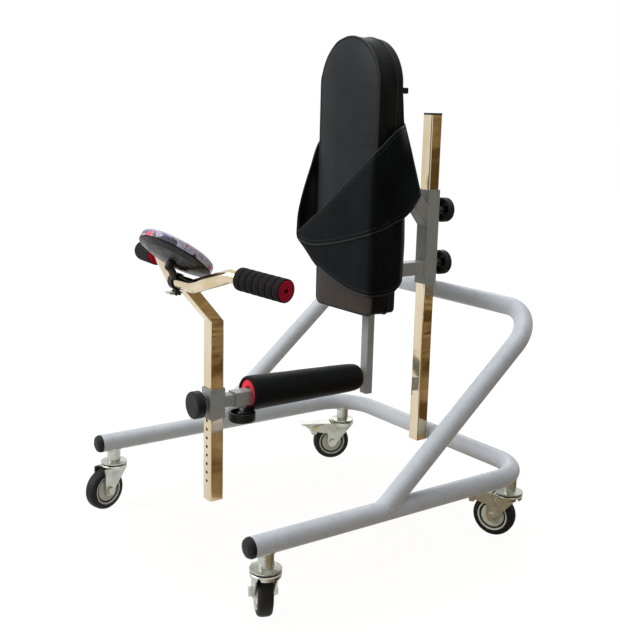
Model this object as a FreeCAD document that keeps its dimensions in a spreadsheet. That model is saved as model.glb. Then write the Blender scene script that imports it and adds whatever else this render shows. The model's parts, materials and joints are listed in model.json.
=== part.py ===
# Gait trainer for a small child: castor frame, padded carriage on a mast, sliding handlebar post
# Millimetres, +Z up, front at -Y, the child's left at +X, floor at Z = 0
import FreeCAD, Part
import math
import os
import Sketcher
from FreeCAD import Placement, Rotation, Vector

doc = FreeCAD.newDocument("gait_trainer")
sizes = doc.addObject("Spreadsheet::Sheet", "sizes")

# Driving sizes: alias, value, meaning
driving_sizes = [
    ("tube_outside", 32.0, "frame tube, outside diameter"),
    ("tube_wall", 2.0, "frame tube, wall"),
    ("rail_spacing", 520.0, "rails, centre to centre"),
    ("rail_height", 123.0, "rails, centre above the floor"),
    ("rail_front", -278.0, "front end of the rails"),
    ("cross_rear", 295.0, "rear cross tubes, centre"),
    ("lower_bend", 76.0, "lower frame, bend radius"),
    ("leg_foot", -37.0, "where the sloping legs meet the rails"),
    ("upper_height", 405.5, "upper cross tube, centre above the floor"),
    ("upper_bend", 76.0, "upper frame, bend radius"),
    ("cope_gap", 0.05, "gap left by the cope of a welded tube"),
    ("plug_insert", 18.0, "end plug, length inside the tube"),
    ("plug_dome", 11.0, "end plug, length of the dome"),
    ("plug_gap", 0.05, "end plug and cap, gap to the tube wall"),
    ("mast_side", 25.0, "mast, side of the square"),
    ("mast_wall", 1.5, "mast, wall"),
    ("mast_corner", 2.5, "mast, corner radius"),
    ("mast_bottom", 112.5, "mast, lower end"),
    ("mast_top", 729.0, "mast, upper end"),
    ("cap_flange", 3.5, "mast cap, thickness of the flange"),
    ("cap_insert", 12.0, "mast cap, length inside the mast"),
    ("sleeve_side", 30.0, "sleeves, outer side of the square"),
    ("sleeve_wall", 2.0, "sleeves, wall"),
    ("sleeve_corner", 3.0, "sleeves, corner radius"),
    ("sleeve_bottom", 420.0, "mast sleeve, lower end"),
    ("sleeve_length", 174.5, "mast sleeve, length"),
    ("brace_side", 25.0, "brace and lower arm, side of the square"),
    ("brace_wall", 1.5, "brace and lower arm, wall"),
    ("brace_angle", 51.0, "brace, angle to the floor in degrees"),
    ("brace_height", 549.0, "brace, centre where it leaves the sleeve"),
    ("lower_arm_height", 450.0, "lower arm, centre"),
    ("backbone_width", 20.0, "backbone tube, width"),
    ("backbone_depth", 15.0, "backbone tube, depth"),
    ("backbone_wall", 1.5, "backbone tube, wall"),
    ("backbone_corner", 2.0, "backbone tube, corner radius"),
    ("backbone_front", 125.0, "backbone tube, front face"),
    ("backbone_bottom", 225.0, "backbone tube, lower end"),
    ("backbone_top", 698.0, "backbone tube, upper end"),
    ("arm_side", 25.0, "seat arm, side of the square"),
    ("arm_wall", 2.0, "seat arm, wall"),
    ("arm_height", 257.0, "seat arm, centre above the floor"),
    ("arm_front", -154.5, "seat arm, front end"),
    ("slider_side", 20.0, "sliding arm, side of the square"),
    ("slider_rear", 20.0, "sliding arm, rear end"),
    ("post_y", -190.5, "handlebar post, centre"),
    ("post_side", 25.0, "handlebar post, side of the square"),
    ("post_wall", 1.5, "handlebar post, wall"),
    ("post_corner", 2.5, "handlebar post, corner radius"),
    ("post_bottom", 88.0, "handlebar post, lower end"),
    ("post_crank", 395.5, "handlebar post, height of the bend"),
    ("post_short", 3.0, "handlebar post, top end below the bar's centre"),
    ("post_sleeve_length", 51.0, "post sleeve, length"),
    ("index_hole", 6.0, "index holes in the post, diameter"),
    ("index_pitch", 15.0, "index holes, pitch"),
    ("index_count", 10, "index holes, number"),
    ("bar_outside", 22.0, "handlebar tube, outside diameter"),
    ("bar_wall", 2.0, "handlebar tube, wall"),
    ("bar_y", -246.0, "handlebar centre stretch"),
    ("bar_height", 461.0, "handlebar centre stretch, above the floor"),
    ("bar_flat", 34.0, "half of the straight centre stretch"),
    ("bar_shoulder", 22.0, "straight stretch before a grip"),
    ("bar_bend", 25.0, "handlebar, bend radius"),
    ("grip_start", 134.5, "inner end of a grip, sideways"),
    ("grip_back", 23.4, "inner end of a grip, behind the bar's centre stretch"),
    ("grip_rise", 25.5, "inner end of a grip, above the bar's centre stretch"),
    ("grip_sweep", 12.1, "grips, sweep back in degrees"),
    ("grip_drop", 3.3, "grips, fall towards the end in degrees"),
    ("grip_length", 94.8, "grip, length"),
    ("grip_outside", 35.0, "grip, outside diameter"),
    ("grip_skin", 1.6, "black skin of the grip"),
    ("grip_groove", 1.4, "groove between two bands of the skin"),
    ("grip_bands", 7, "bands of the skin"),
    ("grip_end_wall", 5.0, "closed end of the grip"),
    ("grip_end_hole", 8.0, "hole in the closed end, diameter"),
    ("grip_gap", 0.05, "grip to handlebar"),
    ("roller_outside", 60.0, "roller cover, diameter at the front"),
    ("roller_narrow", 51.0, "roller cover, diameter at the rear"),
    ("roller_rear", 111.0, "rear end of the roller"),
    ("roller_drop", 3.5, "roller axis, fall to the rear"),
    ("cover_wall", 7.0, "roller cover, wall"),
    ("foam_gap", 0.2, "roller foam to its cover and its arm"),
    ("foam_bore", 27.0, "roller foam, bore"),
    ("foam_recess", 3.0, "foam set back from the front of the cover"),
    ("roller_rise", 5.0, "roller axis above the seat arm"),
    ("roller_front", -125.5, "front end of the roller"),
    ("pad_width", 164.0, "backrest, width"),
    ("pad_top", 857.0, "backrest, top"),
    ("pad_bottom", 386.0, "backrest, bottom"),
    ("pad_front", 71.4, "backrest, front at the edge piping"),
    ("pad_crown", 4.0, "backrest, rise of the crown"),
    ("pad_corner", 14.0, "backrest, bottom corner radius"),
    ("pad_draw", 1.5, "backrest, draw-in of the sides"),
    ("board_thickness", 11.0, "backrest board, thickness"),
    ("board_inset", 3.0, "backrest board, inset from the cushion"),
    ("pad_gap", 0.3, "cushion and board to what carries them"),
    ("screw_diameter", 6.0, "backrest screws"),
    ("screw_head", 11.0, "backrest screws, head diameter"),
    ("screw_head_height", 3.2, "backrest screws, head height"),
    ("screw_depth", 7.0, "backrest screws, depth in the board"),
    ("screw_rise", 22.0, "lowest backrest screw, above the bottom of the backrest"),
    ("leather", 3.5, "belt, thickness"),
    ("belt_gap", 1.0, "belt, gap between its layers and to the cushion"),
    ("band_low", 191.0, "back band, lower edge above the bottom of the backrest"),
    ("band_high", 243.0, "back band, upper edge above the bottom of the backrest"),
    ("hanger_height", 768.0, "belt hanger bar, centre"),
    ("hanger_bar", 10.0, "belt hanger bar, height of the section"),
    ("hanger_depth", 15.0, "belt hanger bar, depth of the section"),
    ("strap_width", 25.0, "belt straps, width"),
    ("strap_thickness", 2.5, "belt straps, thickness"),
    ("strap_length", 70.0, "belt straps, length below the hanger bar"),
    ("knob_outside", 46.0, "clamping knobs, diameter"),
    ("knob_height", 16.0, "clamping knobs, height"),
    ("knob_wall", 3.5, "clamping knobs, wall"),
    ("knob_hub", 15.0, "clamping knobs, hub diameter"),
    ("stud_diameter", 8.0, "knob studs"),
    ("stud_fit", 0.05, "knob stud in its nut, radial"),
    ("stud_grip", 11.0, "length of stud held in the knob"),
    ("stud_tip_gap", 0.3, "stud tip to the tube that it clamps"),
    ("nut_outside", 16.0, "welded nut, diameter"),
    ("nut_height", 5.0, "welded nut, height"),
    ("mast_knob_stand", 15.5, "mast knobs, rim to sleeve"),
    ("mast_knob_high", 555.5, "upper mast knob, height"),
    ("mast_knob_low", 456.5, "lower mast knob, height"),
    ("arm_knob_stand", 13.0, "arm knob, rim to the seat arm"),
    ("arm_knob_back", 19.5, "arm knob, behind the front end of the seat arm"),
    ("post_knob_stand", 10.5, "post knob, rim to the post sleeve"),
    ("castor_front_back", 25.0, "front castor stems, behind the rails' front ends"),
    ("castor_rear_turn", 40.0, "rear castor stems, place on the bend in degrees"),
    ("boss_outside", 24.0, "castor boss, outside diameter"),
    ("boss_bottom", 88.3, "castor boss, lower end"),
    ("stem_diameter", 12.0, "castor stem"),
    ("stem_fit", 0.05, "castor stem in boss and fork, radial"),
    ("stem_short", 17.5, "castor stem, upper end below the rail's centre"),
    ("race_outside", 48.0, "castor upper race, diameter"),
    ("race_height", 84.0, "castor upper race, underside"),
    ("race_thickness", 2.0, "castor upper race, edge thickness"),
    ("race_rise", 4.0, "castor upper race, rise of its dome"),
    ("ball_diameter", 3.2, "castor balls"),
    ("ball_circle", 32.0, "castor balls, pitch circle"),
    ("ball_count", 12, "castor balls, number in each castor"),
    ("ball_gap", 0.3, "castor balls to the fork"),
    ("fork_crown", 2.5, "castor fork, sheet thickness of the crown"),
    ("fork_skirt", 7.0, "castor fork, depth of the crown with its skirt"),
    ("fork_leg", 2.5, "castor fork, sheet thickness"),
    ("fork_inside", 28.8, "castor fork, width between the legs"),
    ("fork_eye", 10.0, "castor fork, radius round the axle"),
    ("wheel_diameter", 75.0, "castor wheel"),
    ("wheel_trail", 24.0, "castor wheel, axle behind the stem"),
    ("tyre_width", 24.0, "tyre, width"),
    ("tyre_shoulder", 5.0, "tyre, shoulder radius"),
    ("core_diameter", 55.0, "wheel core, diameter"),
    ("core_web", 14.0, "wheel core, thickness of the web"),
    ("core_rim", 3.0, "wheel core, rim wall"),
    ("core_rim_width", 22.0, "wheel core, width of the rim"),
    ("cover_disc", 42.0, "wheel dust cover, diameter"),
    ("cover_thickness", 1.5, "wheel dust cover, thickness"),
    ("hub_width", 27.6, "wheel core, width of the hub"),
    ("hub_outside", 14.0, "wheel core, hub diameter"),
    ("axle_diameter", 8.0, "castor axle"),
    ("axle_fit", 0.05, "axle in the wheel, radial"),
    ("axle_head", 13.0, "axle head and nut, across flats"),
    ("axle_head_height", 5.0, "axle head and nut, height"),
    ("brake_pin_out", 61.0, "brake pin, ahead of the stem"),
    ("brake_pin_height", 69.0, "brake pin, height"),
    ("brake_pin_diameter", 5.0, "brake pin"),
    ("pedal_sheet", 1.4, "brake pedal, sheet thickness"),
    ("pedal_width", 28.0, "brake pedal, width"),
    ("pedal_start", 27.0, "brake pedal, inner end"),
    ("pedal_end", 91.0, "brake pedal, outer end"),
    ("pedal_height", 78.0, "brake pedal, underside"),
    ("shoe_width", 20.0, "brake shoe, width"),
    ("shoe_gap", 2.7, "brake shoe, gap to the tyre when released"),
    ("shoe_depth", 5.0, "brake shoe, thickness"),
    ("heading_front_right", -74.0, "front right castor, heading in degrees"),
    ("heading_front_left", 155.0, "front left castor, heading in degrees"),
    ("heading_rear_right", -115.0, "rear right castor, heading in degrees"),
    ("heading_rear_left", -157.0, "rear left castor, heading in degrees"),
    ("clamp_x", -22.0, "handlebar clamp, sideways place"),
    ("disc_x", 3.6, "play disc, centre of the joint between dish and cover"),
    ("disc_ahead", 16.5, "play disc, the same centre ahead of the bar"),
    ("disc_rise", 44.3, "play disc, the same centre above the bar"),
    ("disc_tilt", 35.7, "play disc, tilt to the child in degrees"),
    ("disc_roll", -7.1, "play disc, sideways tilt in degrees"),
    ("disc_diameter", 124.0, "play disc"),
    ("disc_rim", 12.0, "pale cover, height of its wall"),
    ("disc_wall", 2.0, "pale cover and dish, wall"),
    ("disc_crown", 5.0, "pale cover, rise of the top"),
    ("dish_depth", 11.5, "black dish, depth below the cover"),
    ("dish_foot", 30.0, "black dish, diameter at the bottom"),
    ("card_thickness", 1.0, "picture card"),
    ("disc_button", 16.0, "clear button on the cover, diameter"),
    ("disc_button_height", 6.0, "clear button, height"),
    ("disc_button_out", 38.0, "clear button, from the disc's centre"),
    ("disc_button_turn", 58.0, "clear button, place round the disc in degrees"),
    ("card_lift", 8.0, "picture card above the joint"),
    ("neck_pin", 8.0, "pin that the disc turns on, diameter"),
    ("neck_fit", 0.05, "disc on its pin, radial"),
    ("neck_diameter", 14.0, "neck of the clamp"),
    ("neck_gap", 0.4, "neck to the dish"),
    ("clamp_width", 12.0, "handlebar clamp, width"),
    ("clamp_wall", 2.5, "handlebar clamp, wall"),
    ("clamp_fit", 0.05, "handlebar clamp on the bar, radial"),
    ("clamp_ear", 9.0, "handlebar clamp, length of the ears"),
    ("clamp_slit", 3.0, "handlebar clamp, gap between the ears"),
    ("wing_screw", 5.0, "clamp screw, diameter"),
    ("wing_span", 16.0, "clamp screw, span of the wings"),
]

sizes.set("A1", "size")
sizes.set("B1", "mm")
sizes.set("C1", "meaning")
for row, (alias, value, meaning) in enumerate(driving_sizes, start=2):
    sizes.set("A%d" % row, alias)
    sizes.set("B%d" % row, str(value))
    sizes.set("C%d" % row, meaning)
    sizes.setAlias("B%d" % row, alias)
doc.recompute()

pieces = []


def size(alias):
    return float(sizes.get(alias))


def keep(item, name):
    item.Label = name
    pieces.append(item)
    return item


def add(kind, name, **bindings):
    item = doc.addObject(kind, name)
    for prop, formula in bindings.items():
        item.setExpression(prop, formula)
    return item


def put(item, position, rotation=Rotation()):
    item.Placement = Placement(Vector(*position), rotation)
    return item


def cut(name, base, tool):
    result = doc.addObject("Part::Cut", name)
    result.Base = base
    result.Tool = tool
    return result


def common(name, base, tool):
    result = doc.addObject("Part::Common", name)
    result.Base = base
    result.Tool = tool
    return result


def fuse(name, parts):
    result = doc.addObject("Part::MultiFuse", name)
    result.Shapes = parts
    result.Refine = True
    return result


def group(name, parts):
    result = doc.addObject("Part::Compound", name)
    result.Links = parts
    return result


def cylinder(name, radius, height, position, direction=(0, 0, 1)):
    item = add("Part::Cylinder", name, Radius=radius, Height=height)
    return put(item, position, Rotation(Vector(0, 0, 1), Vector(*direction)))


def box(name, low, high):
    item = doc.addObject("Part::Box", name)
    item.Length, item.Width, item.Height = [b - a for a, b in zip(low, high)]
    return put(item, low)


def shape_piece(name, shape):
    item = doc.addObject("Part::Feature", name)
    item.Shape = shape
    return item


def body_plane(body, role):
    return [part for part in body.Origin.OriginFeatures if part.Role == role][0]


def new_sketch(body, role, name):
    sketch = body.newObject("Sketcher::SketchObject", name)
    sketch.AttachmentSupport = (body_plane(body, role), "")
    sketch.MapMode = "FlatFace"
    return sketch


def dimension(sketch, kind, references, formula, name):
    number = sketch.addConstraint(Sketcher.Constraint(kind, *references, 1.0))
    sketch.renameConstraint(number, name)
    sketch.setExpression("Constraints." + name, formula)


# A rounded rectangle about the sketch's origin, from four lines and four corner arcs
def rounded_rectangle(sketch, width, depth, corner, tag):
    first = sketch.GeometryCount
    x, y, r = width[1] / 2, depth[1] / 2, corner[1]
    lines = [((r - x, -y), (x - r, -y)), ((x, r - y), (x, y - r)), ((x - r, y), (r - x, y)), ((-x, y - r), (-x, r - y))]
    for start, end in lines:
        sketch.addGeometry(Part.LineSegment(Vector(*start, 0), Vector(*end, 0)), False)
    centres = [(x - r, r - y, -90), (x - r, y - r, 0), (r - x, y - r, 90), (r - x, r - y, 180)]
    for centre_x, centre_y, start in centres:
        circle = Part.Circle(Vector(centre_x, centre_y, 0), Vector(0, 0, 1), r)
        turn = math.radians(start)
        sketch.addGeometry(Part.ArcOfCircle(circle, turn, turn + math.pi / 2), False)
    for side in range(4):
        arc = first + 4 + side
        sketch.addConstraint(Sketcher.Constraint("Tangent", first + side, 2, arc, 1))
        sketch.addConstraint(Sketcher.Constraint("Tangent", arc, 2, first + (side + 1) % 4, 1))
        if side:
            sketch.addConstraint(Sketcher.Constraint("Equal", first + 4, arc))
    sketch.addConstraint(Sketcher.Constraint("Horizontal", first))
    sketch.addConstraint(Sketcher.Constraint("Vertical", first + 1))
    sketch.addConstraint(Sketcher.Constraint("Horizontal", first + 2))
    sketch.addConstraint(Sketcher.Constraint("Vertical", first + 3))
    sketch.addConstraint(Sketcher.Constraint("Symmetric", first, 1, first + 2, 1, -1, 1))
    named = [
        ("DistanceX", (first + 3, 1, first + 1, 1), width, "width"),
        ("DistanceY", (first, 1, first + 2, 1), depth, "depth"),
        ("Radius", (first + 4,), corner, "corner"),
    ]
    for kind, references, (formula, start), label in named:
        index = sketch.addConstraint(Sketcher.Constraint(kind, *references, start))
        sketch.renameConstraint(index, label + tag)
        sketch.setExpression("Constraints." + label + tag, formula)


def tube_section(body, name, width, depth, wall, corner):
    sketch = new_sketch(body, "XY_Plane", name + "_section")
    outer = [("sizes.%s" % alias, size(alias)) for alias in (width, depth, corner)]
    rounded_rectangle(sketch, *outer, "_outer")
    inner = [("sizes.%s - 2 * sizes.%s" % (side, wall), size(side) - 2 * size(wall)) for side in (width, depth)]
    inner_corner = ("sizes.%s / 2" % corner, size(corner) / 2)
    rounded_rectangle(sketch, *inner, inner_corner, "_inner")
    return sketch


# A straight square or oblong tube along its own Z, as a pad of two rounded rectangles
def square_tube(name, width, depth, wall, corner, length, position, rotation=Rotation()):
    body = doc.addObject("PartDesign::Body", name)
    sketch = tube_section(body, name, width, depth, wall, corner)
    pad = body.newObject("PartDesign::Pad", name + "_length")
    pad.Profile = sketch
    pad.setExpression("Length", length)
    body.Placement = Placement(Vector(*position), rotation)
    return body


# A closed outline with each corner's place bound to the sheet
def outline_sketch(sketch, corners):
    count = len(corners)
    for number in range(count):
        start = Vector(10 + number, number * number, 0)
        following = (number + 1) % count
        end = Vector(10 + following, following * following, 0)
        sketch.addGeometry(Part.LineSegment(start, end), False)
    for number in range(count):
        sketch.addConstraint(Sketcher.Constraint("Coincident", number, 2, (number + 1) % count, 1))
    for number, (across, along) in enumerate(corners):
        for kind, formula, label, axis in (("DistanceX", across, "x", -2), ("DistanceY", along, "y", -1)):
            if formula == "0":
                sketch.addConstraint(Sketcher.Constraint("PointOnObject", number, 1, axis))
            else:
                dimension(sketch, kind, (number, 1), formula, "%s%d" % (label, number))


# A body turned about its own Z from an outline of radius and height
def turned(name, corners, position=(0, 0, 0), rotation=Rotation()):
    body = doc.addObject("PartDesign::Body", name)
    sketch = new_sketch(body, "XZ_Plane", name + "_outline")
    outline_sketch(sketch, corners)
    turn = body.newObject("PartDesign::Revolution", name + "_turn")
    turn.Profile = sketch
    turn.ReferenceAxis = (sketch, ["V_Axis"])
    turn.Angle = 360
    body.Placement = Placement(Vector(*position), rotation)
    return body


# A flat plate from an outline, extruded both ways from its sketch plane
def plate(name, role, corners, thickness):
    body = doc.addObject("PartDesign::Body", name)
    sketch = new_sketch(body, role, name + "_outline")
    outline_sketch(sketch, corners)
    pad = body.newObject("PartDesign::Pad", name + "_thickness")
    pad.Profile = sketch
    pad.Midplane = True
    pad.setExpression("Length", thickness)
    return body


# A rod bent into a U: two legs along the body's Y and a cross piece, all in its XY plane
def u_rod(name, radius, half, reach, bend, position, rotation=Rotation()):
    body = doc.addObject("PartDesign::Body", name)
    path = new_sketch(body, "XY_Plane", name + "_path")
    half_width, length, r = half[1], reach[1], bend[1]
    corner = length - r
    path.addGeometry(Part.LineSegment(Vector(-half_width, 0, 0), Vector(-half_width, corner, 0)), False)
    left = Part.Circle(Vector(r - half_width, corner, 0), Vector(0, 0, 1), r)
    path.addGeometry(Part.ArcOfCircle(left, math.pi / 2, math.pi), False)
    path.addGeometry(Part.LineSegment(Vector(r - half_width, length, 0), Vector(half_width - r, length, 0)), False)
    right = Part.Circle(Vector(half_width - r, corner, 0), Vector(0, 0, 1), r)
    path.addGeometry(Part.ArcOfCircle(right, 0, math.pi / 2), False)
    path.addGeometry(Part.LineSegment(Vector(half_width, corner, 0), Vector(half_width, 0, 0)), False)
    joins = [(0, 2, 1, 2), (1, 1, 2, 1), (2, 2, 3, 2), (3, 1, 4, 1)]
    for join in joins:
        path.addConstraint(Sketcher.Constraint("Tangent", *join))
    path.addConstraint(Sketcher.Constraint("Vertical", 0))
    path.addConstraint(Sketcher.Constraint("Vertical", 4))
    path.addConstraint(Sketcher.Constraint("Equal", 1, 3))
    path.addConstraint(Sketcher.Constraint("PointOnObject", 0, 1, -1))
    path.addConstraint(Sketcher.Constraint("Symmetric", 0, 1, 4, 2, -1, 1))
    named = [
        ("DistanceX", (-1, 1, 4, 2), half, "half"),
        ("DistanceY", (-1, 1, 2, 1), reach, "reach"),
        ("Radius", (1,), bend, "bend"),
    ]
    for kind, references, (formula, start), label in named:
        index = path.addConstraint(Sketcher.Constraint(kind, *references, start))
        path.renameConstraint(index, label)
        path.setExpression("Constraints." + label, formula)
    section = new_sketch(body, "XZ_Plane", name + "_section")
    section.addGeometry(Part.Circle(Vector(-half_width, 0, 0), Vector(0, 0, 1), radius[1]), False)
    section.addConstraint(Sketcher.Constraint("PointOnObject", 0, 3, -1))
    for kind, references, (formula, start), label in (
        ("DistanceX", (0, 3, -1, 1), half, "half"),
        ("Radius", (0,), radius, "radius"),
    ):
        index = section.addConstraint(Sketcher.Constraint(kind, *references, start))
        section.renameConstraint(index, label)
        section.setExpression("Constraints." + label, formula)
    pipe = body.newObject("PartDesign::AdditivePipe", name + "_pipe")
    pipe.Profile = section
    pipe.Spine = (path, ["Edge%d" % number for number in range(1, 6)])
    body.Placement = Placement(Vector(*position), rotation)
    return body


def path_through(points, bend):
    edges = []
    here = points[0]
    for number in range(1, len(points) - 1):
        before, corner, after = points[number - 1], points[number], points[number + 1]
        towards = (before - corner).normalize()
        away = (after - corner).normalize()
        opening = towards.getAngle(away)
        setback = bend / math.tan(opening / 2)
        start, end = corner + towards * setback, corner + away * setback
        middle = corner + (towards + away).normalize() * (bend / math.sin(opening / 2) - bend)
        edges.append(Part.LineSegment(here, start).toShape())
        edges.append(Part.Arc(start, middle, end).toShape())
        here = end
    edges.append(Part.LineSegment(here, points[-1]).toShape())
    return Part.Wire(edges)


def swept_rod(wire, start, direction, radius):
    section = Part.Wire([Part.Circle(start, direction, radius).toShape()])
    return wire.makePipeShell([section], True, False)


# Frame: two bent tubes and their plugs
def frame_tubes():
    half = ("sizes.rail_spacing / 2", size("rail_spacing") / 2)
    outer = ("sizes.tube_outside / 2", size("tube_outside") / 2)
    inner = ("sizes.tube_outside / 2 - sizes.tube_wall", size("tube_outside") / 2 - size("tube_wall"))
    reach = ("sizes.cross_rear - sizes.rail_front", size("cross_rear") - size("rail_front"))
    bend = ("sizes.lower_bend", size("lower_bend"))
    place = (0, size("rail_front"), size("rail_height"))
    lower_rod = u_rod("lower_rod", outer, half, reach, bend, place)
    lower_core = u_rod("lower_core", inner, half, reach, bend, place)
    keep(cut("lower_tube", lower_rod, lower_core), "lower_frame_tube")

    rise = size("upper_height") - size("rail_height")
    run = size("cross_rear") - size("leg_foot")
    slope_rise = "(sizes.upper_height - sizes.rail_height)"
    slope_run = "(sizes.cross_rear - sizes.leg_foot)"
    slope = ("sqrt(%s ^ 2 + %s ^ 2)" % (slope_rise, slope_run), math.hypot(rise, run))
    bend = ("sizes.upper_bend", size("upper_bend"))
    tilt = Rotation(Vector(1, 0, 0), math.degrees(math.atan2(rise, run)))
    place = (0, size("leg_foot"), size("rail_height"))
    upper_rod = u_rod("upper_rod", outer, half, slope, bend, place, tilt)
    upper_core = u_rod("upper_core", inner, half, slope, bend, place, tilt)
    hollow = cut("upper_tube", upper_rod, upper_core)
    copes = []
    for side in (-1, 1):
        start = (side * size("rail_spacing") / 2, size("rail_front"), size("rail_height"))
        radius = "sizes.tube_outside / 2 + sizes.cope_gap"
        copes.append(cylinder("cope", radius, "sizes.cross_rear - sizes.rail_front", start, (0, 1, 0)))
    keep(cut("upper_coped", hollow, group("copes", copes)), "upper_frame_tube")

    plugs = []
    inside = "(sizes.tube_outside / 2 - sizes.tube_wall - sizes.plug_gap)"
    for side in (-1, 1):
        outline = [
            ("0", "-sizes.plug_insert"),
            (inside, "-sizes.plug_insert"),
            (inside, "0"),
            ("sizes.tube_outside / 2", "0"),
            ("sizes.tube_outside / 2", "sizes.plug_dome * 0.35"),
            ("sizes.tube_outside / 2 * 0.86", "sizes.plug_dome * 0.72"),
            ("sizes.tube_outside / 2 * 0.5", "sizes.plug_dome * 0.96"),
            ("0", "sizes.plug_dome"),
        ]
        place = (side * size("rail_spacing") / 2, size("rail_front"), size("rail_height"))
        plugs.append(turned("plug", outline, place, Rotation(Vector(0, 0, 1), Vector(0, -1, 0))))
    keep(group("plugs", plugs), "rail_end_plugs")
    return lower_rod


def mast_centre():
    return size("cross_rear") - size("tube_outside") / 2 - size("mast_side") / 2


def mast():
    place = (0, mast_centre(), size("mast_bottom"))
    length = "sizes.mast_top - sizes.mast_bottom"
    tube = square_tube("mast", "mast_side", "mast_side", "mast_wall", "mast_corner", length, place)
    keep(tube, "mast_tube")
    flange = doc.addObject("PartDesign::Body", "cap")
    side = ("sizes.mast_side", size("mast_side"))
    corner = ("sizes.mast_corner", size("mast_corner"))
    section = new_sketch(flange, "XY_Plane", "cap_section")
    rounded_rectangle(section, side, side, corner, "_flange")
    top = flange.newObject("PartDesign::Pad", "cap_top")
    top.Profile = section
    top.setExpression("Length", "sizes.cap_flange")
    inside = size("mast_side") - 2 * size("mast_wall") - 2 * size("plug_gap")
    inner = ("sizes.mast_side - 2 * sizes.mast_wall - 2 * sizes.plug_gap", inside)
    insert = new_sketch(flange, "XY_Plane", "cap_insert_section")
    rounded_rectangle(insert, inner, inner, ("sizes.mast_corner / 2", size("mast_corner") / 2), "_insert")
    down = flange.newObject("PartDesign::Pad", "cap_insert")
    down.Profile = insert
    down.Reversed = True
    down.setExpression("Length", "sizes.cap_insert")
    flange.Placement = Placement(Vector(0, mast_centre(), size("mast_top")), Rotation())
    keep(flange, "mast_cap")


# Castors: each stands on a stem, and its heading points from the stem to the axle
def castor_places():
    half = size("rail_spacing") / 2
    front = size("rail_front") + size("castor_front_back")
    turn = math.radians(size("castor_rear_turn"))
    bend = size("lower_bend")
    rear_x = half - bend + bend * math.cos(turn)
    rear_y = size("cross_rear") - bend + bend * math.sin(turn)
    return {
        "front_right": (-half, front, size("heading_front_right")),
        "front_left": (half, front, size("heading_front_left")),
        "rear_right": (-rear_x, rear_y, size("heading_rear_right")),
        "rear_left": (rear_x, rear_y, size("heading_rear_left")),
    }


def castor_roots(lower_rod):
    bosses, stems, balls = [], [], []
    for x, y, heading in castor_places().values():
        height = "sizes.rail_height - sizes.boss_bottom"
        blank = cylinder("boss_blank", "sizes.boss_outside / 2", height, (x, y, size("boss_bottom")))
        bore_height = "sizes.rail_height - sizes.stem_short + 1 - sizes.boss_bottom"
        bore = cylinder("boss_bore", "sizes.stem_diameter / 2 + sizes.stem_fit", bore_height, (x, y, size("boss_bottom")))
        bosses.append(cut("boss", cut("boss_tube", blank, bore), lower_rod))
        race = "sizes.race_height"
        outline = [
            ("0", race + " - sizes.fork_crown - sizes.ball_diameter - sizes.ball_gap - 3"),
            ("sizes.stem_diameter / 2 + 3", race + " - sizes.fork_crown - sizes.ball_diameter - sizes.ball_gap - 3"),
            ("sizes.stem_diameter / 2 + 3", race + " - sizes.fork_crown - sizes.ball_diameter - 2 * sizes.ball_gap"),
            ("sizes.stem_diameter / 2", race + " - sizes.fork_crown - sizes.ball_diameter - 2 * sizes.ball_gap"),
            ("sizes.stem_diameter / 2", race),
            ("sizes.race_outside / 2", race),
            ("sizes.race_outside / 2", race + " + sizes.race_thickness"),
            ("sizes.boss_outside / 2", race + " + sizes.race_rise"),
            ("sizes.stem_diameter / 2", race + " + sizes.race_rise"),
            ("sizes.stem_diameter / 2", "sizes.rail_height - sizes.stem_short"),
            ("0", "sizes.rail_height - sizes.stem_short"),
        ]
        stems.append(turned("stem", outline, (x, y, 0)))
        ball_height = size("race_height") - size("ball_diameter") / 2 - size("cope_gap")
        count = int(size("ball_count"))
        for number in range(count):
            turn = math.radians(heading) + 2 * math.pi * number / count
            ball = add("Part::Sphere", "ball", Radius="sizes.ball_diameter / 2")
            reach = size("ball_circle") / 2
            balls.append(put(ball, (x + reach * math.cos(turn), y + reach * math.sin(turn), ball_height)))
    keep(group("bosses", bosses), "castor_bosses")
    keep(group("stems", stems), "castor_stems")
    keep(group("balls", balls), "castor_balls")


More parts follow.
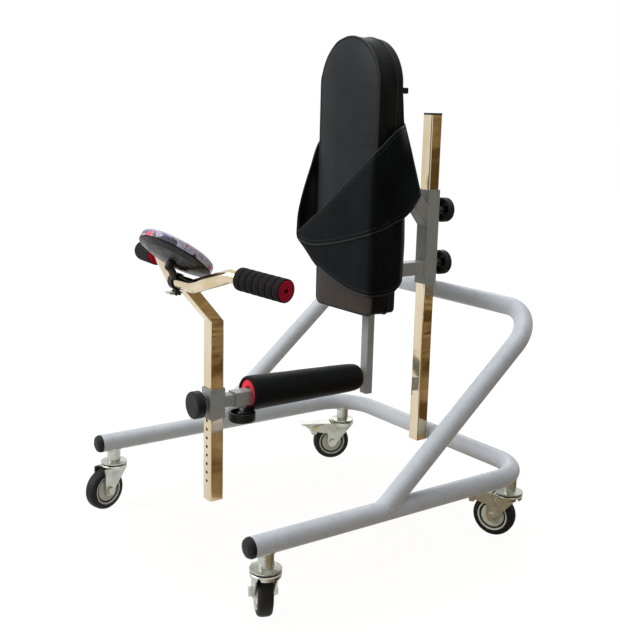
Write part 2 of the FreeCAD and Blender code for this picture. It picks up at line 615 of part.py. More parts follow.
def fork_blank(braked):
    top = "sizes.race_height - sizes.ball_diameter - sizes.cope_gap - sizes.ball_gap"
    outline = [
        ("sizes.stem_diameter / 2 + sizes.stem_fit", top + " - sizes.fork_crown"),
        ("sizes.race_outside / 2 - sizes.fork_leg", top + " - sizes.fork_crown"),
        ("sizes.race_outside / 2 - sizes.fork_leg - 1", top + " - sizes.fork_skirt"),
        ("sizes.race_outside / 2 - 1", top + " - sizes.fork_skirt"),
        ("sizes.race_outside / 2", top + " - 1"),
        ("sizes.race_outside / 2 - 1", top),
        ("sizes.stem_diameter / 2 + sizes.stem_fit", top),
    ]
    crown = turned("crown", outline)
    axle = "sizes.wheel_trail"
    height = "sizes.wheel_diameter / 2"
    leg_top = top + " - 1"
    ears = [
        ("sizes.wheel_trail + sizes.fork_eye", leg_top),
        ("sizes.wheel_trail + sizes.fork_eye", height),
        (axle + " + sizes.fork_eye * 0.7", height + " - sizes.fork_eye * 0.7"),
        (axle, height + " - sizes.fork_eye"),
        (axle + " - sizes.fork_eye * 0.7", height + " - sizes.fork_eye * 0.7"),
        (axle + " - sizes.fork_eye", height),
        ("8 - sizes.race_outside / 2", top + " - sizes.fork_skirt"),
        ("8 - sizes.race_outside / 2", leg_top),
    ]
    if braked:
        pin, pin_height = "sizes.brake_pin_out", "sizes.brake_pin_height"
        reach = "1.1 * sizes.brake_pin_diameter"
        ears[1:1] = [
            ("%s + %s" % (pin, reach), "%s + %s * 0.8" % (pin_height, reach)),
            ("%s + %s" % (pin, reach), "%s - %s" % (pin_height, reach)),
            ("sizes.wheel_trail + sizes.fork_eye", "%s - 2 * %s" % (pin_height, reach)),
        ]
    legs = plate("legs", "XZ_Plane", ears, "sizes.fork_inside + 2 * sizes.fork_leg")
    half = size("fork_inside") / 2
    crown_base = size("race_height") - size("ball_diameter") - size("cope_gap") - size("ball_gap") - size("fork_crown")
    reach = size("brake_pin_out") + size("race_outside")
    gap = box("between", (3 - size("race_outside") / 2, -half, 0), (reach, half, crown_base))
    return crown, legs, gap


# One fork: a round crown and two legs, with the space for the wheel cut between them
def castor_fork(name, place, braked):
    crown, legs, gap = fork_blank(braked)
    stem_hole = cylinder("stem_hole", "sizes.stem_diameter / 2 + sizes.stem_fit", "sizes.rail_height", (0, 0, 0))
    half = size("fork_inside") / 2
    top = size("race_height")
    upper = box("above_legs", (size("race_outside") / 2, -half, 0), (size("pedal_end"), half, top))
    axle = (size("wheel_trail"), -size("fork_inside"), size("wheel_diameter") / 2)
    axle_hole = cylinder("axle_hole", "sizes.axle_diameter / 2 + sizes.axle_fit", "2 * sizes.fork_inside", axle, (0, 1, 0))
    tools = [gap, stem_hole, upper, axle_hole]
    if braked:
        pin = (size("brake_pin_out"), -size("fork_inside"), size("brake_pin_height"))
        radius = "sizes.brake_pin_diameter / 2 + sizes.axle_fit"
        tools.append(cylinder("pin_hole", radius, "2 * sizes.fork_inside", pin, (0, 1, 0)))
    solid = cut("fork", fuse("fork_blank", [crown, legs]), fuse("fork_tools", tools))
    keep(put(solid, *place), name)


def castor_axle(name, place, braked):
    half = "sizes.fork_inside / 2 + sizes.fork_leg"
    trail, height = size("wheel_trail"), size("wheel_diameter") / 2
    edge = size("fork_inside") / 2 + size("fork_leg")
    shank = cylinder("shank", "sizes.axle_diameter / 2", "2 * (%s)" % half, (trail, -edge, height), (0, 1, 0))
    ends = []
    for side in (-1, 1):
        circumradius = "sizes.axle_head / sqrt(3)"
        end = add("Part::Prism", "axle_end", Circumradius=circumradius, Height="sizes.axle_head_height")
        end.Polygon = 6
        ends.append(put(end, (trail, side * edge, height), Rotation(Vector(0, 0, 1), Vector(0, side, 0))))
    solids = [fuse("axle_solid", [shank] + ends)]
    if braked:
        pin_place = (size("brake_pin_out"), -edge, size("brake_pin_height"))
        pin = cylinder("pin", "sizes.brake_pin_diameter / 2", "2 * (%s)" % half, pin_place, (0, 1, 0))
        heads = []
        for side in (-1, 1):
            outside = (size("brake_pin_out"), side * edge, size("brake_pin_height"))
            heads.append(cylinder("pin_head", "sizes.brake_pin_diameter * 0.8", "1.5", outside, (0, side, 0)))
        solids.append(fuse("pin_solid", [pin] + heads))
    keep(put(group("axle", solids), *place), name)


def castor_wheel(name, place):
    turn = Rotation(Vector(0, 0, 1), Vector(0, 1, 0))
    middle = (size("wheel_trail"), 0, size("wheel_diameter") / 2)
    radius, half = "sizes.wheel_diameter / 2", "sizes.tyre_width / 2"
    core = "sizes.core_diameter / 2"
    shoulder = "sizes.tyre_shoulder"
    tyre_half = [
        (core + " + 0.05", half),
        ("%s - 1.6 * %s" % (radius, shoulder), half),
        ("%s - 0.6 * %s" % (radius, shoulder), "%s - 0.25 * %s" % (half, shoulder)),
        ("%s - 0.15 * %s" % (radius, shoulder), "%s - 0.8 * %s" % (half, shoulder)),
        (radius, "%s - 1.5 * %s" % (half, shoulder)),
    ]
    outline = tyre_half + [(across, "-(%s)" % along) for across, along in reversed(tyre_half)]
    tyre = turned("tyre", outline, middle, turn)
    keep(put(group("tyre_piece", [tyre]), *place), name + "_tyre")
    bore = "sizes.axle_diameter / 2 + sizes.axle_fit"
    core_half = [
        (bore, "sizes.hub_width / 2"),
        ("sizes.hub_outside / 2", "sizes.hub_width / 2"),
        ("sizes.hub_outside / 2", "sizes.core_web / 2"),
        (core + " - sizes.core_rim", "sizes.core_web / 2"),
        (core + " - sizes.core_rim", "sizes.core_rim_width / 2"),
        (core, "sizes.core_rim_width / 2"),
    ]
    outline = core_half + [(across, "-(%s)" % along) for across, along in reversed(core_half)]
    solids = [turned("wheel_core", outline, middle, turn)]
    cover_in = "sizes.hub_outside / 2 + 0.1"
    for side in ("", "-"):
        web, rim = "(sizes.core_web / 2 + 0.05)", "(sizes.core_rim_width / 2)"
        outline = [
            (cover_in, side + web),
            ("sizes.cover_disc / 2", side + web),
            ("sizes.cover_disc / 2", "%s(%s - sizes.cover_thickness)" % (side, rim)),
            ("sizes.cover_disc / 2 - 3", side + rim),
            (cover_in, side + rim),
        ]
        solids.append(turned("dust_cover", outline, middle, turn))
    keep(put(group("wheel_core_group", solids), *place), name + "_core")


# The pedal is a channel over the pin, with the shoe under its pin and the foot tab outside
def brake_pedal(name, place):
    pin, pin_height = "sizes.brake_pin_out", "sizes.brake_pin_height"
    base, reach = "sizes.pedal_height", "sizes.brake_pin_diameter"
    outline = [
        ("sizes.pedal_start", base + " + sizes.pedal_sheet"),
        ("sizes.pedal_start", base + " - 1.5"),
        ("%s - 2 * %s" % (pin, reach), pin_height + " + 4"),
        ("%s - 1.4 * %s" % (pin, reach), pin_height + " - 3"),
        ("%s - 0.4 * %s" % (pin, reach), pin_height + " - 13"),
        ("%s + 1.4 * %s" % (pin, reach), pin_height + " - 14"),
        ("%s + 1.6 * %s" % (pin, reach), pin_height + " - 5"),
        ("sizes.pedal_end - 8", base + " - 3"),
        ("sizes.pedal_end", base + " - 1"),
        ("sizes.pedal_end", base + " + sizes.pedal_sheet"),
    ]
    blank = plate("pedal_blank", "XZ_Plane", outline, "sizes.pedal_width")
    inside = size("pedal_width") / 2 - size("pedal_sheet")
    centre = size("brake_pin_out")
    back = centre + 1.4 * size("brake_pin_diameter") - size("pedal_sheet")
    low = size("brake_pin_height") - 20
    tools = [
        box("channel", (0, -inside, low), (back, inside, size("pedal_height"))),
        box("under_tab", (back, -inside, size("brake_pin_height")), (size("pedal_end") + 1, inside, size("pedal_height"))),
        cylinder(
            "pedal_hole",
            "sizes.brake_pin_diameter / 2 + sizes.axle_fit",
            "2 * sizes.fork_inside",
            (centre, -size("fork_inside"), size("brake_pin_height")),
            (0, 1, 0),
        ),
    ]
    channel = cut("pedal", blank, fuse("pedal_tools", tools))
    wheel = Vector(size("wheel_trail"), 0, size("wheel_diameter") / 2)
    inner = size("wheel_diameter") / 2 + size("shoe_gap")
    sector = []
    half = size("shoe_width") / 2
    for radius in (inner, inner + size("shoe_depth")):
        tube = Part.makeCylinder(radius, 2 * half, wheel + Vector(0, -half, 0), Vector(0, 1, 0))
        sector.append(tube)
    block_low = Vector(centre - 4, -half, size("brake_pin_height") - 13.5)
    block = Part.makeBox(back - centre + 4, 2 * half, 9, block_low)
    shoe = shape_piece("shoe", block.cut(sector[0]))
    keep(put(group("pedal_group", [channel, shoe]), *place), name)


def castors():
    for corner, (x, y, heading) in castor_places().items():
        place = ((x, y, 0), Rotation(Vector(0, 0, 1), heading))
        braked = corner.startswith("rear")
        castor_fork("castor_fork_" + corner, place, braked)
        castor_axle("castor_axle_" + corner, place, braked)
        castor_wheel("wheel_" + corner, place)
        if braked:
            brake_pedal("brake_pedal_" + corner, place)


# A hole for a stud with its welded nut on the outside of a sleeve face
def nut(name, position, direction):
    return cylinder(name, "sizes.nut_outside / 2", "sizes.nut_height", position, direction)


def stud_hole(name, position, direction):
    reach = "sizes.nut_height + 2 * sizes.sleeve_wall"
    return cylinder(name, "sizes.stud_diameter / 2 + sizes.stud_fit", reach, position, direction)


def carriage_sleeve():
    centre = mast_centre()
    place = (0, centre, size("sleeve_bottom"))
    tube = square_tube("sleeve", "sleeve_side", "sleeve_side", "sleeve_wall", "sleeve_corner", "sizes.sleeve_length", place)
    face = centre + size("sleeve_side") / 2
    heights = (size("mast_knob_low"), size("mast_knob_high"))
    nuts = [nut("mast_nut", (0, face, height), (0, 1, 0)) for height in heights]
    start = face - 2 * size("sleeve_wall")
    holes = [stud_hole("mast_stud_hole", (0, start, height), (0, 1, 0)) for height in heights]
    solid = cut("sleeve_drilled", fuse("sleeve_nuts", [tube] + nuts), group("sleeve_holes", holes))
    keep(solid, "carriage_sleeve")


def carriage_arms():
    rear = mast_centre() - size("sleeve_side") / 2
    front = size("backbone_front") + size("backbone_depth")
    span = "(sizes.cross_rear - sizes.tube_outside / 2 - sizes.mast_side / 2 - sizes.sleeve_side / 2"
    span += " - sizes.backbone_front - sizes.backbone_depth)"
    wide = size("brace_side")
    slab = box("between_sleeve_and_backbone", (-wide, front, 0), (wide, rear, size("mast_top")))
    angle = size("brace_angle")
    slope = Vector(0, -math.cos(math.radians(angle)), math.sin(math.radians(angle)))
    start = Vector(0, rear, size("brace_height")) - slope * wide
    turn = Rotation(Vector(1, 0, 0), 90 - angle)
    length = span + " / cos(sizes.brace_angle * 1 deg) + 2 * sizes.brace_side"
    corner = "backbone_corner"
    brace = square_tube("brace", "brace_side", "brace_side", "brace_wall", corner, length, tuple(start), turn)
    keep(common("brace_cut", brace, slab), "sloping_brace")
    flat = Rotation(Vector(0, 0, 1), Vector(0, 1, 0))
    arm_place = (0, front, size("lower_arm_height"))
    arm = square_tube("arm", "brace_side", "brace_side", "brace_wall", corner, span, arm_place, flat)
    keep(arm, "lower_arm")


def screw_heights():
    arm_top = size("lower_arm_height") + size("brace_side") / 2
    room = size("pad_bottom") + size("band_low") - arm_top
    return [size("pad_bottom") + size("screw_rise"), arm_top + room * 0.3, arm_top + room * 0.7]


def backbone():
    place = (0, size("backbone_front") + size("backbone_depth") / 2, size("backbone_bottom"))
    length = "sizes.backbone_top - sizes.backbone_bottom"
    names = ("backbone_width", "backbone_depth", "backbone_wall", "backbone_corner")
    tube = square_tube("backbone", *names, length, place)
    holes = []
    for height in screw_heights():
        start = (0, size("backbone_front") - 1, height)
        radius = "sizes.screw_diameter / 2 + sizes.stud_fit"
        holes.append(cylinder("screw_hole", radius, "sizes.backbone_depth + 2", start, (0, 1, 0)))
    keep(cut("backbone_drilled", tube, group("screw_holes", holes)), "backbone_tube")


def seat_arm():
    flat = Rotation(Vector(0, 0, 1), Vector(0, 1, 0))
    place = (0, size("arm_front"), size("arm_height"))
    length = "sizes.backbone_front - sizes.arm_front"
    tube = square_tube("seat_arm", "arm_side", "arm_side", "arm_wall", "backbone_corner", length, place, flat)
    knob_y = size("arm_front") + size("arm_knob_back")
    under = size("arm_height") - size("arm_side") / 2
    welded = nut("arm_nut", (0, knob_y, under), (0, 0, -1))
    hole = stud_hole("arm_stud_hole", (0, knob_y, under + 2 * size("arm_wall")), (0, 0, -1))
    keep(cut("seat_arm_drilled", fuse("seat_arm_nut", [tube, welded]), hole), "seat_arm_tube")


def sliding_arm():
    flat = Rotation(Vector(0, 0, 1), Vector(0, 1, 0))
    front = size("post_y") + size("sleeve_side") / 2
    length = "sizes.slider_rear - sizes.post_y - sizes.sleeve_side / 2"
    place = (0, front, size("arm_height"))
    names = ("slider_side", "slider_side", "arm_wall", "backbone_corner")
    keep(square_tube("slider", *names, length, place, flat), "sliding_arm")
    place = (0, size("post_y"), size("arm_height") - size("post_sleeve_length") / 2)
    names = ("sleeve_side", "sleeve_side", "sleeve_wall", "sleeve_corner")
    tube = square_tube("collar", *names, "sizes.post_sleeve_length", place)
    face = size("post_y") - size("sleeve_side") / 2
    welded = nut("post_nut", (0, face, size("arm_height")), (0, -1, 0))
    start = face + 2 * size("sleeve_wall")
    hole = stud_hole("post_stud_hole", (0, start, size("arm_height")), (0, -1, 0))
    keep(cut("post_sleeve_drilled", fuse("post_sleeve_nut", [tube, welded]), hole), "post_sleeve")


# A knob opens towards what it clamps; its own Z points outwards from the rim
def knob(name, position, direction, stand_alias, outside, inside):
    turn = Rotation(Vector(0, 0, 1), Vector(*direction))
    outer, hub = "sizes.knob_outside / 2", "sizes.knob_hub / 2"
    tall, wall = "sizes.knob_height", "sizes.knob_wall"
    stud = "sizes.stud_diameter / 2 + 0.02"
    outline = [
        (stud, "2"),
        (hub, "2"),
        (hub, "%s - %s" % (tall, wall)),
        ("%s - %s" % (outer, wall), "%s - %s" % (tall, wall)),
        ("%s - %s" % (outer, wall), "0"),
        (outer + " - 0.8", "0"),
        (outer, "0.8"),
        (outer, tall + " - 3"),
        (outer + " - 1", tall + " - 1"),
        (outer + " - 3.5", tall),
        ("0", tall),
        ("0", "2 + sizes.stud_grip"),
        (stud, "2 + sizes.stud_grip"),
    ]
    stand = size(stand_alias)
    reach = (size(outside) - size(inside)) / 2 - size("stud_tip_gap")
    start = Vector(*position) + Vector(*direction) * stand
    keep(turned("knob", outline, tuple(start), turn), name + "_head")
    tip = Vector(*position) - Vector(*direction) * reach
    reach_formula = "(sizes.%s - sizes.%s) / 2 - sizes.stud_tip_gap" % (outside, inside)
    length = "%s + sizes.%s + 2 + sizes.stud_grip - 0.02" % (reach_formula, stand_alias)
    shank = cylinder("stud", "sizes.stud_diameter / 2", length, tuple(tip), direction)
    keep(shank, name + "_stud")


def knobs():
    face = mast_centre() + size("sleeve_side") / 2
    for name, height in (("mast_knob_upper", size("mast_knob_high")), ("mast_knob_lower", size("mast_knob_low"))):
        knob(name, (0, face, height), (0, 1, 0), "mast_knob_stand", "sleeve_side", "mast_side")
    under = size("arm_height") - size("arm_side") / 2
    knob_y = size("arm_front") + size("arm_knob_back")
    knob("arm_knob", (0, knob_y, under), (0, 0, -1), "arm_knob_stand", "arm_side", "slider_side")
    front = size("post_y") - size("sleeve_side") / 2
    knob("post_knob", (0, front, size("arm_height")), (0, -1, 0), "post_knob_stand", "sleeve_side", "post_side")


# A round bar along Y whose radius and axis change evenly, with a softened rear end
def tapered_bar(front_radius, rear_radius, start, end):
    height = size("arm_height") + size("roller_rise")
    fall = size("roller_drop")
    stations = [(0, 0), (0.93, 0), (0.98, 1.0), (1, 3.0)]
    rings = []
    for share, inset in stations:
        centre = Vector(0, start + (end - start) * share, height - fall * share)
        radius = front_radius + (rear_radius - front_radius) * share - inset * (rear_radius > 20)
        rings.append(Part.Wire([Part.Circle(centre, Vector(0, 1, 0), radius).toShape()]))
    return Part.makeLoft(rings, True, True)


# Roller: a foam tube slit over the square arm, inside a sewn cover that narrows to the rear
def roller():
    front, rear = size("roller_outside") / 2, size("roller_narrow") / 2
    start, end, wall = size("roller_front"), size("roller_rear"), size("cover_wall")
    inner_front, inner_rear = front - wall, rear - wall + 1
    long_core = tapered_bar(inner_front, inner_rear, start - 1, end + 1)
    cover = tapered_bar(front, rear, start, end).cut(long_core)
    keep(shape_piece("cover", cover), "roller_cover")
    gap = size("foam_gap")
    foam = tapered_bar(inner_front - gap, inner_rear - gap, start - 1, end + 1)
    middle = (start + end) / 2
    trim = Part.makeBox(90, end - start - size("foam_recess"), 90)
    trim.translate(Vector(-45, start + size("foam_recess"), size("arm_height") - 40))
    height = size("arm_height") + size("roller_rise")
    through = end - start + 2 * size("cover_wall")
    bore_start = Vector(0, middle - through / 2, height - size("roller_drop") / 2)
    bore = Part.makeCylinder(size("foam_bore") / 2, through, bore_start, Vector(0, 1, 0))
    half = size("arm_side") / 2 + gap
    channel_start = Vector(-half, middle - through / 2, size("arm_height") - half)
    channel = Part.makeBox(2 * half, through, 2 * half, channel_start)
    keep(shape_piece("foam", foam.common(trim).cut(bore).cut(channel)), "roller_foam")


# The backrest's outline in XZ: a half-round top in two arcs and two rounded bottom corners
def pad_outline(grow, y):
    half = size("pad_width") / 2 + grow
    top = size("pad_top") + grow
    bottom = size("pad_bottom") - grow
    corner = max(size("pad_corner") + grow, 2)
    spring = top - half
    diagonal = math.sqrt(0.5)
    edges = [
        Part.Arc(
            Vector(half, y, spring), Vector(half * diagonal, y, spring + half * diagonal), Vector(0, y, top)
        ),
        Part.Arc(
            Vector(0, y, top), Vector(-half * diagonal, y, spring + half * diagonal), Vector(-half, y, spring)
        ),
        Part.LineSegment(Vector(-half, y, spring), Vector(-half, y, bottom + corner)),
        Part.Arc(
            Vector(-half, y, bottom + corner),
            Vector(-half + corner * (1 - diagonal), y, bottom + corner * (1 - diagonal)),
            Vector(-half + corner, y, bottom),
        ),
        Part.LineSegment(Vector(-half + corner, y, bottom), Vector(half - corner, y, bottom)),
        Part.Arc(
            Vector(half - corner, y, bottom),
            Vector(half - corner * (1 - diagonal), y, bottom + corner * (1 - diagonal)),
            Vector(half, y, bottom + corner),
        ),
        Part.LineSegment(Vector(half, y, bottom + corner), Vector(half, y, spring)),
    ]
    return Part.Wire([edge.toShape() for edge in edges])


def backrest():
    back = size("backbone_front") - size("pad_gap")
    board_front = back - size("board_thickness")
    inset = -size("board_inset")
    face = Part.Face(pad_outline(inset, board_front))
    board = face.extrude(Vector(0, size("board_thickness"), 0))
    for height in screw_heights():
        start = Vector(0, back - size("screw_depth") - 0.5, height)
        radius = size("screw_diameter") / 2 + size("stud_fit")
        board = board.cut(Part.makeCylinder(radius, size("screw_depth") + 1, start, Vector(0, 1, 0)))
    keep(shape_piece("board", board), "backrest_board")

    front, crown, draw = size("pad_front"), size("pad_crown"), size("pad_draw")
    rear = board_front - size("pad_gap")
    middle = (front + rear) / 2
    sides = [(0, rear), (-draw, middle), (0, front + 4), (0, front)]
    sections = [pad_outline(grow, y) for grow, y in sides]
    base = Part.makeLoft(sections, True, True)
    steps = [(0, 0), (-10, 0.55), (-26, 0.85), (-50, 1.0)]
    dome = Part.makeLoft([pad_outline(grow, front - crown * rise) for grow, rise in steps], True, True)
    keep(shape_piece("cushion", base.fuse(dome).removeSplitter()), "backrest_cushion")

    screws = []
    for height in screw_heights():
        head_y = size("backbone_front") + size("backbone_depth")
        tip = back - size("screw_depth")
        length = "sizes.backbone_depth + sizes.pad_gap + sizes.screw_depth"
        shank = cylinder("screw", "sizes.screw_diameter / 2", length, (0, tip, height), (0, 1, 0))
        head = cylinder("screw_cap", "sizes.screw_head / 2", "sizes.screw_head_height", (0, head_y, height), (0, 1, 0))
        screws.append(fuse("screw_solid", [shank, head]))
    keep(group("screws", screws), "backrest_screws")


# A leather sheet as a ruled loft: each station gives the upper and lower edge of its outer face
def sheet(stations):
    outer = [(Vector(*upper), Vector(*lower)) for upper, lower in stations]
    sections = []
    for number, (upper, lower) in enumerate(outer):
        before = outer[max(number - 1, 0)]
        after = outer[min(number + 1, len(outer) - 1)]
        along = (after[0] + after[1]) - (before[0] + before[1])
        inward = Vector(0, 0, 1).cross(along)
        inward.z = 0
        inward = inward.normalize() * size("leather")
        corners = [upper, lower, lower + inward, upper + inward, upper]
        sections.append(Part.makePolygon(corners))
    return Part.makeLoft(sections, True, True)


# The belt hangs empty: two wraps that start behind the cushion and cross in front of it
def belt():
    side = size("pad_width") / 2
    front, thick, gap = size("pad_front"), size("leather"), size("belt_gap")
    under = side + gap + thick
    over = under + gap + thick
    back = size("backbone_front") + size("backbone_depth") + gap + thick
    under_front = front - size("pad_crown") - gap - thick
    over_front = under_front - gap - thick

    def heights(stations):
        low = size("pad_bottom")
        return [((a, b, c + low), (d, e, f + low)) for (a, b, c), (d, e, f) in stations]

    near = [
        ((side - 3, back - 11, 326), (over + 36, back - 11, 213)),
        ((over - 2, back - 30, 313), (over + 13, back - 24, 181)),
        ((over, front + 10, 291), (over, front + 14, 152)),
        ((over - 4, over_front + 4, 279), (over - 4, over_front + 4, 145)),
        ((over - 16, over_front - 1, 268), (over - 16, over_front - 1, 143)),
        ((side / 2, over_front - 4, 244), (side / 2, over_front - 4, 136)),
        ((0, over_front - 6, 214), (0, over_front - 6, 124)),
        ((-side / 2, over_front - 7, 183), (-side / 2, over_front - 7, 115)),
        ((-side + 2, over_front - 8, 152), (-side + 2, over_front - 8, 108)),
        ((-side - 30, over_front - 8, 127), (-side - 32, over_front - 7, 115)),
    ]
    keep(shape_piece("near_sheet", sheet(heights(near))), "belt_near_wrap")

    lower = [
        ((under, back - 24, 207), (under, back - 24, 35)),
        ((under, front + 10, 203), (under, front + 10, 39)),
        ((under - 3, under_front + 4, 199), (under - 3, under_front + 4, 41)),
        ((under - 14, under_front, 195), (under - 14, under_front, 42)),
        ((side / 2, under_front, 182), (side / 2, under_front, 44)),
        ((0, under_front, 167), (0, under_front, 49)),
        ((-side / 2, under_front, 152), (-side / 2, under_front, 56)),
        ((-side, under_front - 1, 137), (-side, under_front - 1, 71)),
        ((-side - 26, under_front - 4, 124), (-side - 28, under_front - 4, 105)),
    ]
    far = [
        ((-side - 36, over_front - 12, 131), (-side - 37, over_front - 12, 112)),
        ((-side - 26, 42, 165), (-side - 38, 46, 116)),
        ((-side - 16, 44, 201), (-side - 32, 50, 122)),
        ((-side - 8, 56, 252), (-side - 22, 62, 130)),
        ((-side - 6, 72, 291), (-side - 13, 78, 142)),
        ((-under, back - 34, 311), (-over - 13, back - 24, 181)),
        ((3 - side, back - 11, 326), (-over - 36, back - 11, 213)),
    ]
    solids = [shape_piece("lower_sheet", sheet(heights(lower))), shape_piece("far_sheet", sheet(heights(far)))]
    keep(group("far_wrap", solids), "belt_far_wrap")

    low, high = size("band_low"), size("band_high")
    band = [
        ((-over - 26, back + 1, 239), (-over - 35, back + 1, 214)),
        ((-side / 2, back, high + 2), (-side / 2, back, low + 4)),
        ((0, back, high), (0, back, low)),
        ((side / 2, back, high + 2), (side / 2, back, low + 4)),
        ((over + 26, back + 1, 239), (over + 35, back + 1, 214)),
    ]
    band.reverse()
    keep(shape_piece("band_sheet", sheet(heights(band))), "belt_back_band")

    hanger_back = size("backbone_front") + size("hanger_depth")
    half = size("hanger_bar") / 2
    height = size("hanger_height")
    reach = side - 6
    bar = box("hanger", (-reach, size("backbone_front"), height - half), (reach, hanger_back, height + half))
    rounded = doc.addObject("Part::Fillet", "hanger_rounded")
    rounded.Base = bar
    doc.recompute()
    rounded.Edges = [(number + 1, 2.0, 2.0) for number in range(len(bar.Shape.Edges))]
    keep(rounded, "belt_hanger_bar")
    straps = []
    for direction in (-1, 1):
        inner = reach - size("strap_width")
        low_x, high_x = sorted((direction * inner, direction * reach))
        low_y = size("backbone_front") + gap
        low = (low_x, low_y, height - half - size("strap_length"))
        straps.append(box("strap", low, (high_x, low_y + size("strap_thickness"), height - half)))
    keep(group("straps", straps), "belt_straps")


# Post: square tube whose top pad leans forward on the same level section, coped under the handlebar
def handlebar_post():
    position = (0, size("post_y"), size("post_bottom"))
    names = ("post_side", "post_side", "post_wall", "post_corner")
    body = square_tube("post", *names, "sizes.post_crank - sizes.post_bottom", position)
    bend = tube_section(body, "lean", *names)
    bend.setExpression(".AttachmentOffset.Base.z", "sizes.post_crank - sizes.post_bottom")
    rise = size("bar_height") - size("post_crank")
    lean = body.newObject("PartDesign::Pad", "lean_length")
    lean.Profile = bend
    lean.UseCustomVector = True
    lean.Direction = Vector(0, (size("bar_y") - size("post_y")) / rise, 1)
    lean.AlongSketchNormal = True
    lean.setExpression("Length", "sizes.bar_height - sizes.post_crank - sizes.post_short")
    reach = size("bar_flat") * 2
    start = (-reach / 2, size("bar_y"), size("bar_height"))
    cope = cylinder("post_cope", "sizes.bar_outside / 2 + sizes.cope_gap", "sizes.bar_flat * 2", start, (1, 0, 0))
    tube = cut("post_coped", body, cope)
    holes = []
    for number in range(int(size("index_count"))):
        height = size("arm_height") - number * size("index_pitch")
        face = (0, size("post_y") - size("post_side") / 2 - 1, height)
        holes.append(cylinder("index_hole", "sizes.index_hole / 2", "sizes.post_wall + 2", face, (0, 1, 0)))
    keep(cut("post_drilled", tube, group("index_holes", holes)), "handlebar_post")


def grip_axis(side):
    back, rise = size("bar_y") + size("grip_back"), size("bar_height") + size("grip_rise")
    start = Vector(side * size("grip_start"), back, rise)
    sweep, drop = math.radians(size("grip_sweep")), math.radians(size("grip_drop"))
    level = math.cos(drop)
    along = Vector(side * level * math.cos(sweep), level * math.sin(sweep), -math.sin(drop))
    return start, along


# A handlebar bent in more than one plane, so its path is made of lines and arcs in space
def handlebar():
    points = []
    for side in (-1, 1):
        start, along = grip_axis(side)
        ends = [
            start + along * (size("grip_length") - size("grip_end_wall")),
            start - along * size("bar_shoulder"),
            Vector(side * size("bar_flat"), size("bar_y"), size("bar_height")),
        ]
        points += ends if side < 0 else ends[::-1]
    wire = path_through(points, size("bar_bend"))
    along = points[1] - points[0]
    outer = swept_rod(wire, points[0], along, size("bar_outside") / 2)
    inner = swept_rod(wire, points[0], along, size("bar_outside") / 2 - size("bar_wall"))
    keep(shape_piece("bar", outer.cut(inner)), "handlebar")
    bore = "sizes.bar_outside / 2 + sizes.grip_gap"
    skin = "sizes.grip_outside / 2 - sizes.grip_skin"
    count = int(size("grip_bands"))
    band = "(sizes.grip_length - 2 - (sizes.grip_bands - 1) * sizes.grip_groove) / sizes.grip_bands"
    pitch = (size("grip_length") - 2 + size("grip_groove")) / count
    for name, side in (("left", 1), ("right", -1)):
        start, along = grip_axis(side)
        turn = Rotation(Vector(0, 0, 1), along)
        outline = [
            (bore, "0"),
            (skin, "0"),
            (skin, "sizes.grip_length"),
            ("sizes.grip_end_hole / 2", "sizes.grip_length"),
            ("sizes.grip_end_hole / 2", "sizes.grip_length - sizes.grip_end_wall + sizes.grip_gap"),
            (bore, "sizes.grip_length - sizes.grip_end_wall + sizes.grip_gap"),
        ]
        solids = [turned("grip_core", outline, tuple(start), turn)]
        for number in range(count):
            base = tuple(start + along * (1 + number * pitch))
            blank = cylinder("band_blank", "sizes.grip_outside / 2", band, base, tuple(along))
            hole = cylinder("band_hole", skin, band, base, tuple(along))
            solids.append(cut("band", blank, hole))
        keep(group("grip", solids), "handgrip_" + name)


# Play disc, built along its own axis with Z = 0 at the joint between dish and cover, then tilted
def disc_place():
    normal = Vector(math.tan(math.radians(size("disc_roll"))), math.tan(math.radians(size("disc_tilt"))), 1)
    centre = (size("disc_x"), size("bar_y") - size("disc_ahead"), size("bar_height") + size("disc_rise"))
    return centre, Rotation(Vector(0, 0, 1), normal)


